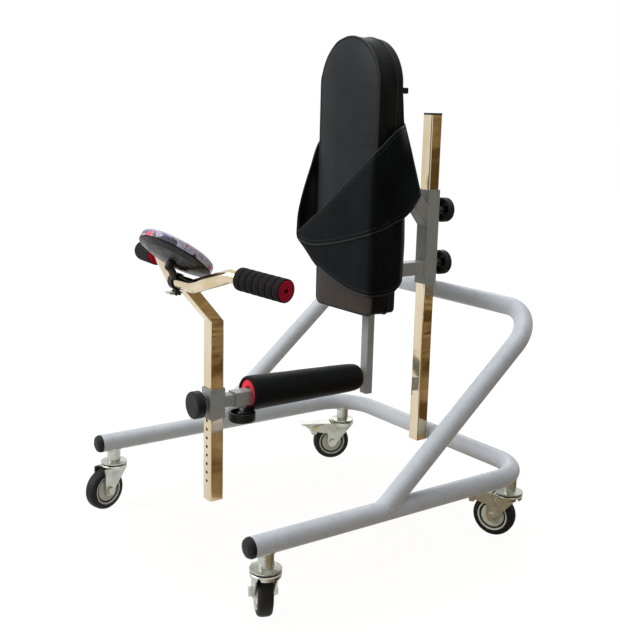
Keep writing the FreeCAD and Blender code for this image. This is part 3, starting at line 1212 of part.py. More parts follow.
def play_disc():
    place, turn = disc_place()
    radius, wall, rim = "sizes.disc_diameter / 2", "sizes.disc_wall", "sizes.disc_rim"
    crown = "(sizes.disc_rim + sizes.disc_crown)"
    outline = [
        (radius + " - " + wall, "0.1"),
        (radius, "0.1"),
        (radius, rim + " - 3"),
        (radius + " - 1", rim),
        (radius + " - 4", rim + " + sizes.disc_crown * 0.35"),
        (radius + " / 2", crown + " - sizes.disc_crown * 0.2"),
        ("0", crown),
        ("0", crown + " - " + wall),
        (radius + " / 2", crown + " - sizes.disc_crown * 0.2 - " + wall),
        (radius + " - 5", rim + " + sizes.disc_crown * 0.35 - " + wall),
        (radius + " - " + wall + " - 0.8", rim + " - 1.8"),
        (radius + " - " + wall, rim + " - 3"),
    ]
    cover = turned("cover_shell", outline, place, turn)
    up = turn.multVec(Vector(0, 0, 1))
    around = math.radians(size("disc_button_turn"))
    out = turn.multVec(Vector(math.cos(around), math.sin(around), 0)) * size("disc_button_out")
    seat = Vector(*place) + out + up * (size("disc_rim") + size("disc_crown") * 0.4)
    button = cylinder("button", "sizes.disc_button / 2", "sizes.disc_button_height", tuple(seat), tuple(up))
    keep(fuse("cover_button", [cover, button]), "play_disc_cover")

    inside = radius + " - sizes.disc_wall - 0.1"
    lift = "sizes.card_lift"
    outline = [("0", lift), (inside, lift), (inside, lift + " + sizes.card_thickness"), ("0", lift + " + sizes.card_thickness")]
    keep(turned("card", outline, place, turn), "play_disc_card")

    low, foot = "-sizes.dish_depth", "sizes.dish_foot / 2"
    bore = "sizes.neck_pin / 2 + sizes.neck_fit"
    lip = radius + " - sizes.disc_wall - 0.1"
    outline = [
        (bore, low),
        (foot, low),
        (radius + " * 0.75", "-sizes.dish_depth * 0.58"),
        (radius + " - 1", "-2"),
        (radius, "0"),
        (lip, "0"),
        (lip, lift + " - 0.1"),
        (lip + " - " + wall, lift + " - 0.1"),
        (lip + " - " + wall, "0"),
        (radius + " * 0.75", "sizes.disc_wall * 1.1 - sizes.dish_depth * 0.58"),
        (foot, low + " + sizes.disc_wall * 1.2"),
        ("sizes.neck_pin / 2 + 3", low + " + sizes.disc_wall * 1.2"),
        ("sizes.neck_pin / 2 + 3", low + " + 10"),
        (bore, low + " + 10"),
    ]
    keep(turned("dish", outline, place, turn), "play_disc_dish")


def disc_clamp():
    place, turn = disc_place()
    up = turn.multVec(Vector(0, 0, 1))
    neck_top = Vector(*place) - up * (size("dish_depth") + size("neck_gap"))
    bar = Vector(size("clamp_x"), size("bar_y"), size("bar_height"))
    half = size("clamp_width") / 2
    outer = size("bar_outside") / 2 + size("clamp_wall")
    ring = Part.makeCylinder(outer, 2 * half, bar - Vector(half, 0, 0), Vector(1, 0, 0))
    knuckle = neck_top - up * 6
    towards = knuckle - bar
    stalk = Part.makeCylinder(half, towards.Length, bar, towards)
    seat = Part.makeCylinder(size("neck_diameter") / 2, 7, neck_top - up * 7, up)
    joint = Part.makeSphere(size("neck_diameter") / 2, knuckle - up)
    pin = Part.makeCylinder(size("neck_pin") / 2, 10 + size("neck_gap"), neck_top - up, up)
    thick, ear = size("clamp_slit") / 2 + 3, outer + size("clamp_ear")
    ears = Part.makeBox(2 * half, 2 * thick, ear, bar - Vector(half, thick, ear))
    body = ring.fuse([stalk, seat, joint, pin, ears])
    bore_radius = size("bar_outside") / 2 + size("clamp_fit")
    bore = Part.makeCylinder(bore_radius, 12 * half, bar - Vector(6 * half, 0, 0), Vector(1, 0, 0))
    slit_low = bar - Vector(2 * half, size("clamp_slit") / 2, ear + 1)
    slit = Part.makeBox(4 * half, size("clamp_slit"), ear + 1, slit_low)
    screw = bar - Vector(0, 0, outer + size("clamp_ear") / 2)
    hole = Part.makeCylinder(size("wing_screw") / 2 + size("clamp_fit"), 60, screw - Vector(0, 30, 0), Vector(0, 1, 0))
    body = body.cut(bore).cut(slit).cut(hole).removeSplitter()
    keep(shape_piece("clamp", body), "play_disc_clamp")
    shank = Part.makeCylinder(size("wing_screw") / 2, 2 * thick + 6, screw - Vector(0, thick + 5, 0), Vector(0, 1, 0))
    button = Part.makeCylinder(size("wing_screw") * 0.8, 2, screw + Vector(0, thick, 0), Vector(0, 1, 0))
    hub = Part.makeCylinder(size("wing_screw") * 0.8, 5, screw - Vector(0, thick + 5, 0), Vector(0, 1, 0))
    span = size("wing_span")
    wings = Part.makeBox(span, 8, 2.5, screw - Vector(span / 2, thick + 12, 1.25))
    keep(shape_piece("wing", shank.fuse([button, hub, wings]).removeSplitter()), "clamp_screw")


def check_and_write():
    doc.recompute()
    for item in doc.Objects:
        if "Invalid" in item.State or "Error" in item.State:
            raise RuntimeError("%s did not build: %s" % (item.Label, item.State))
    os.makedirs("parts", exist_ok=True)
    for piece in pieces:
        shape = piece.Shape
        if shape.isNull() or not shape.isValid() or not shape.Solids:
            raise RuntimeError("%s has no valid solid" % piece.Label)
        shape.exportStep(os.path.join("parts", piece.Label + ".step"))
        print("%-28s %2d solids %10.0f mm3" % (piece.Label, len(shape.Solids), shape.Volume))


lower_rod = frame_tubes()
mast()
castor_roots(lower_rod)
castors()
carriage_sleeve()
carriage_arms()
backbone()
seat_arm()
sliding_arm()
knobs()
roller()
backrest()
belt()
handlebar_post()
handlebar()
play_disc()
disc_clamp()
check_and_write()
print(len(pieces), "pieces")
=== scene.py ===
# Gait trainer for a child: finishes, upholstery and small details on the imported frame
import json
import math
import bpy
from mathutils import Matrix, Vector, noise


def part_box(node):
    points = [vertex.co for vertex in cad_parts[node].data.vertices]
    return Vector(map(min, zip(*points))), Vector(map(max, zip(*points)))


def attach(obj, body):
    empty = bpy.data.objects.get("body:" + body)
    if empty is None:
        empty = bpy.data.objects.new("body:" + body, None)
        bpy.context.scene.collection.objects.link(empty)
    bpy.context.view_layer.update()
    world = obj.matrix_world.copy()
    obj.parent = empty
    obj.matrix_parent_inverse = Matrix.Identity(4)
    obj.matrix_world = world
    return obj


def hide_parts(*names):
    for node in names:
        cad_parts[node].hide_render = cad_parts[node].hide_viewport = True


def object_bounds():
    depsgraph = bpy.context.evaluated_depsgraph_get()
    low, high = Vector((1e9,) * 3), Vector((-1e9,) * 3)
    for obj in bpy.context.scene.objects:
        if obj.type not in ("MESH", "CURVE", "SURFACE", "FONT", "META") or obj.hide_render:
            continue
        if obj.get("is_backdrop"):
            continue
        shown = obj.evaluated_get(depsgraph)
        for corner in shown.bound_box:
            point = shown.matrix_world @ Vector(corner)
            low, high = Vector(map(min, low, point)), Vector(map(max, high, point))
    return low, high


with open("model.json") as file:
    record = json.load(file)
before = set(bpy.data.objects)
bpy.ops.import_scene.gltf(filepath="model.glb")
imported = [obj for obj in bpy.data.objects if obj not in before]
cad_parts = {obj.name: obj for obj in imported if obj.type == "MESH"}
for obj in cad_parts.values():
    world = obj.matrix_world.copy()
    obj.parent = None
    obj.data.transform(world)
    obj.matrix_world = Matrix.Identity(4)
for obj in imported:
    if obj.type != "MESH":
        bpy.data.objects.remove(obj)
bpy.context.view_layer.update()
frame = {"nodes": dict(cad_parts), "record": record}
nodes = frame["nodes"]
scene = bpy.context.scene
mm = 0.001
print("stage: frame loaded,", len(nodes), "nodes")


# A hex colour as the linear one that Blender's sockets take, with alpha
def linear(hexColour):
    values = [int(hexColour[i:i + 2], 16) / 255 for i in (1, 3, 5)]
    return tuple(v / 12.92 if v <= 0.04045 else ((v + 0.055) / 1.055) ** 2.4 for v in values) + (1.0,)


# Adds a shader node; a link's value is either another node's output or the socket's own value
def addNode(material, kind, links=None, **settings):
    node = material.node_tree.nodes.new("ShaderNode" + kind)
    for name, value in settings.items():
        setattr(node, name, value)
    for socket, value in (links or {}).items():
        if isinstance(value, bpy.types.NodeSocket):
            material.node_tree.links.new(value, node.inputs[socket])
        else:
            node.inputs[socket].default_value = value
    return node


def newFinish(name, colour, roughness, metallic=0.0, more=None):
    material = bpy.data.materials.new(name)
    material.use_nodes = True
    shader = material.node_tree.nodes["Principled BSDF"]
    shader.inputs["Base Color"].default_value = linear(colour)
    shader.inputs["Roughness"].default_value = roughness
    shader.inputs["Metallic"].default_value = metallic
    for socket, value in (more or {}).items():
        shader.inputs[socket].default_value = value
    return material, shader


# Object coordinates, drawn out along each axis by the stretch
def place(material, stretch=(1, 1, 1)):
    where = addNode(material, "TexCoord")
    scale = tuple(1 / s for s in stretch)
    inputs = {"Vector": where.outputs["Object"], "Scale": scale}
    return addNode(material, "Mapping", inputs, vector_type="POINT").outputs["Vector"]


def cloudy(material, sizeMm, detail=3.0, where=None, rough=0.5):
    where = where or place(material)
    inputs = {"Vector": where, "Scale": 1 / (sizeMm * mm), "Detail": detail, "Roughness": rough}
    return addNode(material, "TexNoise", inputs).outputs["Fac"]


# Maps a value between start and end onto low to high
def spread(material, value, low, high, start=0.3, end=0.7):
    inputs = {"Value": value, "From Min": start, "From Max": end, "To Min": low, "To Max": high}
    return addNode(material, "MapRange", inputs).outputs["Result"]


def blendColours(material, factor, first, second):
    first, second = (linear(tone) if isinstance(tone, str) else tone for tone in (first, second))
    inputs = {0: factor, 6: first, 7: second}
    return addNode(material, "Mix", inputs, data_type="RGBA", blend_type="MIX").outputs[2]


def connect(material, value, shader, socket):
    material.node_tree.links.new(value, shader.inputs[socket])


# Gives a material, or the world, its surface
def surfaceFrom(owner, value, output="Material Output"):
    connect(owner, value, owner.node_tree.nodes[output], "Surface")


# One for rays of the camera, of reflections and through clear things, nought for those that light the part
def seenRays(owner):
    path = addNode(owner, "LightPath")
    seen = path.outputs["Is Camera Ray"]
    for ray in ("Is Glossy Ray", "Is Transmission Ray"):
        inputs = {0: seen, 1: path.outputs[ray]}
        seen = addNode(owner, "Math", inputs, operation="MAXIMUM").outputs["Value"]
    return seen


def emboss(material, shader, height, depthMm, before=None, strength=1.0):
    bump = addNode(material, "Bump", {"Height": height, "Strength": strength, "Distance": depthMm * mm})
    if before is not None:
        connect(material, before, bump, "Normal")
    connect(material, bump.outputs["Normal"], shader, "Normal")
    return bump.outputs["Normal"]


# Polyester powder coat: satin, with the faint orange peel of baked powder
def powderCoat(name, finish):
    gloss = {"Specular IOR Level": 0.42, "IOR": 1.5}
    material, shader = newFinish(name, finish["colour"], finish["roughness"], more=gloss)
    drift = spread(material, cloudy(material, finish["driftMm"]), 0.0, 1.0)
    grime = spread(material, cloudy(material, finish["driftMm"] / 6, 5.0), 0.0, 0.35, 0.52, 0.75)
    tone = blendColours(material, drift, finish["colour"], finish["shade"])
    connect(material, blendColours(material, grime, tone, finish["dull"]), shader, "Base Color")
    satin = finish["roughness"]
    uneven = spread(material, cloudy(material, 22, 4.0), satin - 0.06, satin + 0.08)
    connect(material, uneven, shader, "Roughness")
    peel = emboss(material, shader, cloudy(material, finish["peelMm"], 1.0), finish["peelDepthMm"])
    emboss(material, shader, cloudy(material, 14, 2.0), 0.05, peel)
    return material


frameFinish = {
    "colour": "#C4CAD1", "shade": "#BCC2C9", "dull": "#A8ABAE",
    "roughness": 0.40, "driftMm": 90, "peelMm": 1.8, "peelDepthMm": 0.035,
}
carriageFinish = {
    "colour": "#9C9F9D", "shade": "#939592", "dull": "#7F7F78",
    "roughness": 0.36, "driftMm": 60, "peelMm": 1.6, "peelDepthMm": 0.03,
}
framePaint = powderCoat("greyPowderCoat", frameFinish)
carriagePaint = powderCoat("darkGreyPowderCoat", carriageFinish)

# Mirror-polished stainless tube: a cream base colour with brown patches, painted reflection of a warm room,
# faint polishing lines along it and finger smears
mirrorSteel = {
    "colour": "#DDD0B8", "shade": "#CBB994", "roughness": 0.07,
    "lineMm": 0.5, "lineDepthMm": 0.004, "smearMm": 28, "waveMm": 22, "waveDepthMm": 0.32,
}
polishedSteel, shader = newFinish("polishedStainless", mirrorSteel["colour"], mirrorSteel["roughness"], 1.0)
# Painted reflection: the cream base colour and its brown patches stand in for a warm room seen in the steel
tone = spread(polishedSteel, cloudy(polishedSteel, 45, 2.0, place(polishedSteel, (1, 1, 3))), 0.0, 1.0)
tone = blendColours(polishedSteel, tone, mirrorSteel["colour"], mirrorSteel["shade"])
connect(polishedSteel, tone, shader, "Base Color")
smear = cloudy(polishedSteel, mirrorSteel["smearMm"], 5.0)
connect(polishedSteel, spread(polishedSteel, smear, 0.04, 0.16, 0.45, 0.8), shader, "Roughness")
lines = cloudy(polishedSteel, mirrorSteel["lineMm"], 1.0, place(polishedSteel, (1, 1, 60)))
lined = emboss(polishedSteel, shader, lines, mirrorSteel["lineDepthMm"])
waves = cloudy(polishedSteel, mirrorSteel["waveMm"], 1.0, place(polishedSteel, (3.0, 3.0, 1)))
emboss(polishedSteel, shader, waves, mirrorSteel["waveDepthMm"], lined)

# Bright zinc plate on pressed steel: soft spangle, slight yellow where it has dulled
zincFinish = {"colour": "#BFC2BC", "dull": "#A9A992", "brass": "#C9B35E", "roughness": 0.30, "spangleMm": 2.2}


def zincSurface(name):
    material, shader = newFinish(name, zincFinish["colour"], zincFinish["roughness"], 1.0)
    inputs = {"Vector": place(material), "Scale": 1 / (zincFinish["spangleMm"] * mm)}
    cells = addNode(material, "TexVoronoi", inputs)
    dull = spread(material, cloudy(material, 12, 4.0), 0.0, 0.8, 0.42, 0.75)
    tone = blendColours(material, dull, zincFinish["colour"], zincFinish["dull"])
    connect(material, spread(material, cells.outputs["Distance"], 0.26, 0.38, 0.0, 0.6), shader, "Roughness")
    emboss(material, shader, cloudy(material, 0.9, 2.0), 0.02)
    return material, shader, tone


zincPlate, shader, tone = zincSurface("brightZincPlate")
connect(zincPlate, tone, shader, "Base Color")

# The axle's node also holds the brake pin, yellow passivated brass colour, above the wheel's centre
axleSteel, shader, tone = zincSurface("zincAndBrassPins")
pinAboveMm = 56
height = addNode(axleSteel, "SeparateXYZ", {"Vector": place(axleSteel)}).outputs["Z"]
isPin = addNode(axleSteel, "Math", {0: height, 1: pinAboveMm * mm}, operation="GREATER_THAN").outputs["Value"]
connect(axleSteel, blendColours(axleSteel, isPin, tone, zincFinish["brass"]), shader, "Base Color")


# Injection-moulded black plastic with a spark-eroded grain
def mouldedPlastic(name, colour, worn, roughness, grainMm=0.7, depth=0.03, shine=0.3):
    material, shader = newFinish(name, colour, roughness, more={"IOR": 1.49, "Specular IOR Level": shine})
    rub = spread(material, cloudy(material, 9, 5.0), 0.0, 0.7, 0.55, 0.8)
    connect(material, blendColours(material, rub, colour, worn), shader, "Base Color")
    uneven = spread(material, cloudy(material, 15, 3.0), roughness - 0.08, roughness + 0.12)
    connect(material, uneven, shader, "Roughness")
    emboss(material, shader, cloudy(material, grainMm, 2.0), depth)
    return material


blackPlastic = mouldedPlastic("mouldedBlackPlastic", "#121515", "#24272A", 0.44, shine=0.2)
glossBlack = mouldedPlastic("glossyBlackPlastic", "#050707", "#0C0E10", 0.30, 1.4, 0.012, 0.16)
wheelPlastic = mouldedPlastic("palePolypropylene", "#CBCEC1", "#AEB1A4", 0.45, 1.2, 0.02)
# A lighter copy of the wheel plastic for the rim lip: painted highlight
litRimPlastic = mouldedPlastic("litRimPolypropylene", "#D6D9D2", "#B9BCB3", 0.34, 1.2, 0.01)

# Vulcanised rubber: matt, a little dust caught in its pores
gloss = {"IOR": 1.52, "Specular IOR Level": 0.2}
tyreRubber, shader = newFinish("vulcanisedRubber", "#161513", 0.62, more=gloss)
dust = spread(tyreRubber, cloudy(tyreRubber, 7, 6.0), 0.0, 0.55, 0.5, 0.85)
connect(tyreRubber, blendColours(tyreRubber, dust, "#151412", "#3A3732"), shader, "Base Color")
emboss(tyreRubber, shader, cloudy(tyreRubber, 0.6, 2.0), 0.05)


# Artificial leather, calendered vinyl on knit: pebble grain, soft sheen on the pebbles, painted shade in the
# valleys between them, faint creases.
# The low colour, where one is given, is a painted reflection of the warm floor: full below one height and
# gone above the other
leather = {"floorReflectionFull": 390, "floorReflectionGone": 500, "creaseDepthMm": 1.1, "warpMm": 1.2}


def artificialLeather(
        name, colour, toneAndValleyShade, roughness, pebbleMm=1.3, creaseMm=26, grain=0.07, shine=0.1, low=None):
    material, shader = newFinish(name, colour, roughness, more={"IOR": 1.5, "Specular IOR Level": shine})
    where = place(material)
    bend = cloudy(material, 6, 2.0, where)
    inputs = {0: bend, 1: leather["warpMm"] * mm}
    shift = addNode(material, "Math", inputs, operation="MULTIPLY").outputs["Value"]
    sideways = addNode(material, "CombineXYZ", {"X": shift}).outputs["Vector"]
    warped = addNode(material, "VectorMath", {0: where, 1: sideways}, operation="ADD").outputs["Vector"]
    inputs = {"Vector": warped, "Scale": 1 / (pebbleMm * mm)}
    pebbles = addNode(material, "TexVoronoi", inputs, feature="DISTANCE_TO_EDGE").outputs["Distance"]
    soft = spread(material, pebbles, 0.0, 1.0, 0.0, 0.22)
    tone = spread(material, cloudy(material, 60, 3.0, where), 0.0, 1.0)
    surface = blendColours(material, tone, colour, toneAndValleyShade)
    # Painted reflection: below the given height the cover takes the low colour, standing in for the warm
    # floor seen in it
    if low:
        height = addNode(material, "SeparateXYZ", {"Vector": where}).outputs["Z"]
        share = spread(material, height, 1.0, 0.0, leather["floorReflectionFull"] * mm, leather["floorReflectionGone"] * mm)
        surface = blendColours(material, share, surface, low)
    # Painted shade: the valleys between the pebbles are darkened toward the darker colour, which also serves
    # the random tone above
    between = spread(material, soft, 0.55, 0.0, 0.0, 0.8)
    connect(material, blendColours(material, between, surface, toneAndValleyShade), shader, "Base Color")
    sheen = spread(material, soft, roughness + 0.16, roughness - 0.03, 0.0, 1.0)
    connect(material, sheen, shader, "Roughness")
    creases = cloudy(material, creaseMm, 4.0, place(material, (1.0, 1.0, 2.2)), 0.6)
    fine = emboss(material, shader, soft, grain, None, 0.8)
    emboss(material, shader, creases, leather["creaseDepthMm"], fine, 0.35)
    return material


beltLeather = artificialLeather("blackLeatherette", "#0A1013", "#050809", 0.42, shine=0.05)
# The cushion's front leatherette; its last colour is a painted reflection of the warm floor on the lower part
cushionVinyl = artificialLeather(
    "charcoalLeatherette", "#181C20", "#111418", 0.40, 1.5, 60, 0.05, 0.12, "#453C35")
# A darker copy of the cushion's leatherette for its sides and back: painted shade, against the lit front copy
# above
shadedSideVinyl = artificialLeather("shadedSideLeatherette", "#0A0D0F", "#050708", 0.48, 1.5, 60, 0.05)
coverLeather = artificialLeather("rollerLeatherette", "#0A0D0E", "#050708", 0.50, 1.2, 18, 0.06)
pipingVinyl = artificialLeather("pipingLeatherette", "#0F1214", "#0A0C0E", 0.34, 0.9, 30, 0.03, 0.2)
threadNylon = mouldedPlastic("bondedNylonThread", "#0F1213", "#1C2022", 0.45, 0.8, 0.02)


# Woven polyester webbing: plain weave, 1.6 mm a rib, drawn straight up the strap, its dips painted darker and
# its raised yarns painted lighter as shade and light
weaveSize = {"ribMm": 1.6, "yarnMm": 1.1, "turn": 6.2832}
gloss = {"Sheen Weight": 0.15, "Sheen Roughness": 0.4, "Specular IOR Level": 0.2}
webbing, shader = newFinish("wovenWebbing", "#15181A", 0.72, more=gloss)
ribScale = 1 / (weaveSize["ribMm"] * mm * weaveSize["turn"]) * 2
yarnScale = 1 / (weaveSize["yarnMm"] * mm * weaveSize["turn"]) * 2
inputs = {"Vector": place(webbing), "Scale": ribScale, "Distortion": 0.4}
across = addNode(webbing, "TexWave", inputs, wave_type="BANDS", bands_direction="Z").outputs["Fac"]
inputs = {"Vector": place(webbing), "Scale": yarnScale}
along = addNode(webbing, "TexWave", inputs, wave_type="BANDS", bands_direction="X").outputs["Fac"]
weave = addNode(webbing, "Math", {0: across, 1: along}, operation="MULTIPLY").outputs["Value"]
# Painted light and shade: the colour follows the weave's height, dark in its dips and light on its raised
# yarns
connect(webbing, blendColours(webbing, weave, "#0C0E10", "#23282B"), shader, "Base Color")
emboss(webbing, shader, weave, 0.35)


# Closed-cell foam: matt skin with open pores, the pores darkened with painted shade
def foamSurface(name, colour, deep, roughness, poreMm, depth):
    material, shader = newFinish(name, colour, roughness, more={"IOR": 1.4, "Specular IOR Level": 0.15})
    inputs = {"Vector": place(material), "Scale": 1 / (poreMm * mm), "Randomness": 1.0}
    cells = addNode(material, "TexVoronoi", inputs).outputs["Distance"]
    pits = spread(material, cells, 0.0, 1.0, 0.1, 0.5)
    mottle = spread(material, cloudy(material, 5, 4.0), 0.0, 0.5)
    tone = blendColours(material, mottle, colour, deep)
    # Painted shade: the pores are darkened toward the deep colour where the bump sinks them
    poreShade = spread(material, pits, 0.6, 0.0, 0.0, 1.0)
    connect(material, blendColours(material, poreShade, tone, deep), shader, "Base Color")
    emboss(material, shader, pits, depth)
    return material


gripFoam = foamSurface("blackGripFoam", "#181A1B", "#0D0E0F", 0.78, 0.9, 0.16)
redFoam = foamSurface("redGripFoam", "#BE1238", "#820C26", 0.66, 0.9, 0.1)
rollerFoam = foamSurface("pinkRollerFoam", "#FF4658", "#E8283E", 0.7, 1.2, 0.12)

# Painted plywood at the back of the cushion: thin black paint, grain showing through along the height
gloss = {"IOR": 1.5, "Specular IOR Level": 0.12}
boardPaint, shader = newFinish("blackPaintedPly", "#131211", 0.6, more=gloss)
grain = cloudy(boardPaint, 2.4, 4.0, place(boardPaint, (1, 1, 22)))
tone = blendColours(boardPaint, spread(boardPaint, grain, 0.0, 1.0), "#11100F", "#1E1C19")
connect(boardPaint, tone, shader, "Base Color")
emboss(boardPaint, shader, grain, 0.12)

# The play disc: its middle and axis in the part's frame, and the print's scale and colours
disc = {
    "centre": (3.6, -262.5, 505.3), "axis": (-0.100637, 0.580579, 0.807961),
    "wallTop": 7, "topFrom": 11, "patchMm": 15, "lineMm": 8, "pale": "#BDB8CC", "drawnLine": "#5E566A",
    "inks": [("Red", 0.52, "#E88A2A"), ("Red", 0.74, "#D8566A"), ("Green", 0.66, "#2E3E88"),
             ("Blue", 0.7, "#2A2226"), ("Green", 0.9, "#F0B23A")],
}


# Generic printed picture: patches of orange, red, blue and black in soft shapes on pale lilac
def printedPicture(material, where):
    inputs = {"Vector": where, "Scale": 1 / (disc["patchMm"] * mm), "Randomness": 0.9}
    patches = addNode(material, "TexVoronoi", inputs)
    shade = addNode(material, "SeparateColor", {"Color": patches.outputs["Color"]})
    ink = disc["pale"]
    for channel, start, colour in disc["inks"]:
        inputs = {0: shade.outputs[channel], 1: start}
        chosen = addNode(material, "Math", inputs, operation="GREATER_THAN").outputs["Value"]
        ink = blendColours(material, chosen, ink, colour)
    inputs = {"Vector": where, "Scale": 1 / (disc["lineMm"] * mm)}
    lineWork = addNode(material, "TexVoronoi", inputs, feature="DISTANCE_TO_EDGE").outputs["Distance"]
    onLine = spread(material, lineWork, 0.75, 0.0, 0.02, 0.06)
    return blendColours(material, onLine, ink, disc["drawnLine"])


cardPrint, shader = newFinish("printedCard", "#E4E0E8", 0.5)
connect(cardPrint, printedPicture(cardPrint, place(cardPrint)), shader, "Base Color")

# Styrene cover, drawn opaque: the picture is full on its wall and faint on its top
gloss = {"IOR": 1.49, "Specular IOR Level": 0.22}
clearCover, shader = newFinish("clearStyrene", disc["pale"], 0.24, more=gloss)
where = place(clearCover)
level = sum(a * b * mm for a, b in zip(disc["centre"], disc["axis"]))
inputs = {0: where, 1: disc["axis"]}
above = addNode(clearCover, "VectorMath", inputs, operation="DOT_PRODUCT").outputs["Value"]
shown = spread(clearCover, above, 0.9, 0.22, level + disc["wallTop"] * mm, level + disc["topFrom"] * mm)
tone = blendColours(clearCover, shown, disc["pale"], printedPicture(clearCover, where))
connect(clearCover, tone, shader, "Base Color")
scratches = spread(clearCover, cloudy(clearCover, 3, 6.0), 0.2, 0.34, 0.5, 0.75)
connect(clearCover, scratches, shader, "Roughness")
emboss(clearCover, shader, cloudy(clearCover, 18, 1.0), 0.12)
print("stage: finishes made,", len(bpy.data.materials))

slotFinish = {
    "frame_paint": framePaint, "carriage_paint": carriagePaint,
    "polished_steel": polishedSteel, "zinc": zincPlate, "brass_pin": zincPlate,
    "black_plastic": blackPlastic, "tyre_rubber": tyreRubber, "wheel_plastic": wheelPlastic,
    "black_leather": beltLeather, "cushion_cover": cushionVinyl, "board": boardPaint, "webbing": webbing,
    "red_foam": rollerFoam, "grip_foam": gripFoam, "disc_cover": clearCover, "disc_card": cardPrint,
}
# Each node takes the finish of its slot, and a few take one that the photograph shows more exactly
for subpart in frame["record"]["subparts"]:
    node = nodes[subpart["node"]]
    node.data.materials.clear()
    node.data.materials.append(slotFinish[subpart["material_slot"]])
for corner in ("front_right", "front_left", "rear_right", "rear_left"):
    nodes["castor_axle_" + corner].data.materials[0] = axleSteel
nodes["play_disc_dish"].data.materials[0] = glossBlack
nodes["castor_bosses"].data.materials[0] = zincPlate


def only(obj):
    bpy.ops.object.select_all(action="DESELECT")
    obj.hide_set(False)
    obj.select_set(True)
    bpy.context.view_layer.objects.active = obj
    return obj


def applyModifiers(obj):
    only(obj)
    for modifier in list(obj.modifiers):
        bpy.ops.object.modifier_apply(modifier=modifier.name)


# Makes a piece a plain mesh at the origin, smooth with creases above the angle, and lets it ride
def settle(obj, name, body, material, stands=(), crease=60):
    only(obj)
    bpy.ops.object.convert(target="MESH")
    obj = bpy.context.object
    bpy.ops.object.transform_apply()
    bpy.ops.object.shade_smooth_by_angle(angle=math.radians(crease))
    obj.name = obj.data.name = name
    obj.data.materials.clear()
    obj.data.materials.append(material)
    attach(obj, body)
    if stands:
        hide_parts(*stands)
    return obj


def alongAxis(direction):
    return Vector(direction).normalized().to_track_quat("Z", "Y").to_euler()


# In edit mode: merges points that touch, turns all faces outward, and leaves edit mode
def mergePoints():
    bpy.ops.mesh.select_all(action="SELECT")
    bpy.ops.mesh.remove_doubles(threshold=0.02 * mm)
    bpy.ops.mesh.normals_make_consistent(inside=False)
    bpy.ops.object.mode_set(mode="OBJECT")


def refine(obj, levels):
    finer = obj.modifiers.new("finer", "SUBSURF")
    finer.levels = finer.render_levels = levels


def discard(*patterns):
    for pattern in patterns:
        only(pattern)
        bpy.ops.object.delete()


# Draws a profile of (radius, height) in millimetres by extruding a point, and spins it round Z
def lathe(profile, steps=64, closed=False):
    profile = [(radius * mm, height * mm) for radius, height in profile]
    bpy.ops.mesh.primitive_plane_add(size=0.01, location=(0, 0, 0))
    obj = bpy.context.object
    bpy.ops.object.mode_set(mode="EDIT")
    bpy.ops.mesh.select_all(action="SELECT")
    bpy.ops.mesh.merge(type="CENTER")
    bpy.ops.transform.translate(value=(profile[0][0], 0, profile[0][1]))
    corners = list(profile) + ([profile[0]] if closed else [])
    for before, after in zip(corners[:-1], corners[1:]):
        move = (after[0] - before[0], 0, after[1] - before[1])
        bpy.ops.mesh.extrude_region_move(TRANSFORM_OT_translate={"value": move})
    bpy.ops.mesh.select_all(action="SELECT")
    bpy.ops.mesh.spin(steps=steps, angle=2 * math.pi, center=(0, 0, 0), axis=(0, 0, 1))
    mergePoints()
    return obj


def stand(obj, position, direction):
    obj.rotation_euler = alongAxis(direction)
    obj.location = position
    return obj


def copyOf(obj):
    twin = obj.copy()
    twin.data = obj.data.copy()
    scene.collection.objects.link(twin)
    return twin


def joined(pieces):
    only(pieces[0])
    for piece in pieces[1:]:
        piece.select_set(True)
    bpy.ops.object.join()
    return bpy.context.object


# A copy of a CAD node's solid, merged, free of the frame
def nodeCopy(name):
    twin = copyOf(nodes[name])
    twin.parent = None
    for key in list(twin.keys()):
        del twin[key]
    only(twin)
    bpy.ops.object.mode_set(mode="EDIT")
    mergePoints()
    return twin


# A closed profile's corners, each rounded by a short curve
def roundedProfile(corners, radius):
    points = []
    for index, corner in enumerate(corners):
        before, after = Vector(corners[index - 1]), Vector(corners[(index + 1) % len(corners)])
        here = Vector(corner)
        reach = min(radius, (before - here).length * 0.45, (after - here).length * 0.45)
        start, end = here + (before - here).normalized() * reach, here + (after - here).normalized() * reach
        for step in range(4):
            t = step / 3
            points.append(tuple(start * (1 - t) ** 2 + here * 2 * t * (1 - t) + end * t ** 2))
    return points


# Smooth lines of round section: points are one line's, or a list of lines
def roundLine(points, radius, closed=False, resolution=6, sides=3):
    lines = points if isinstance(points[0], (list, tuple)) else [points]
    bpy.ops.curve.primitive_nurbs_path_add()
    obj = bpy.context.object
    curve = obj.data
    obj.location = (0, 0, 0)
    curve.splines.clear()
    for line in lines:
        spline = curve.splines.new("NURBS")
        spline.points.add(len(line) - 1)
        for point, spot in zip(spline.points, line):
            point.co = (*spot, 1.0)
        spline.order_u = 3
        spline.use_cyclic_u = closed
        spline.use_endpoint_u = not closed
        spline.resolution_u = resolution
    curve.dimensions = "3D"
    curve.bevel_depth = radius
    curve.bevel_resolution = sides
    curve.use_fill_caps = not closed
    return obj


def worldPoint(x, y, z):
    return Vector((x * mm, y * mm, z * mm))


# Weld beads, millimetres
beads = {"width": 2.0, "rippleMm": 3.2, "ripple": 0.45, "reach": 60}


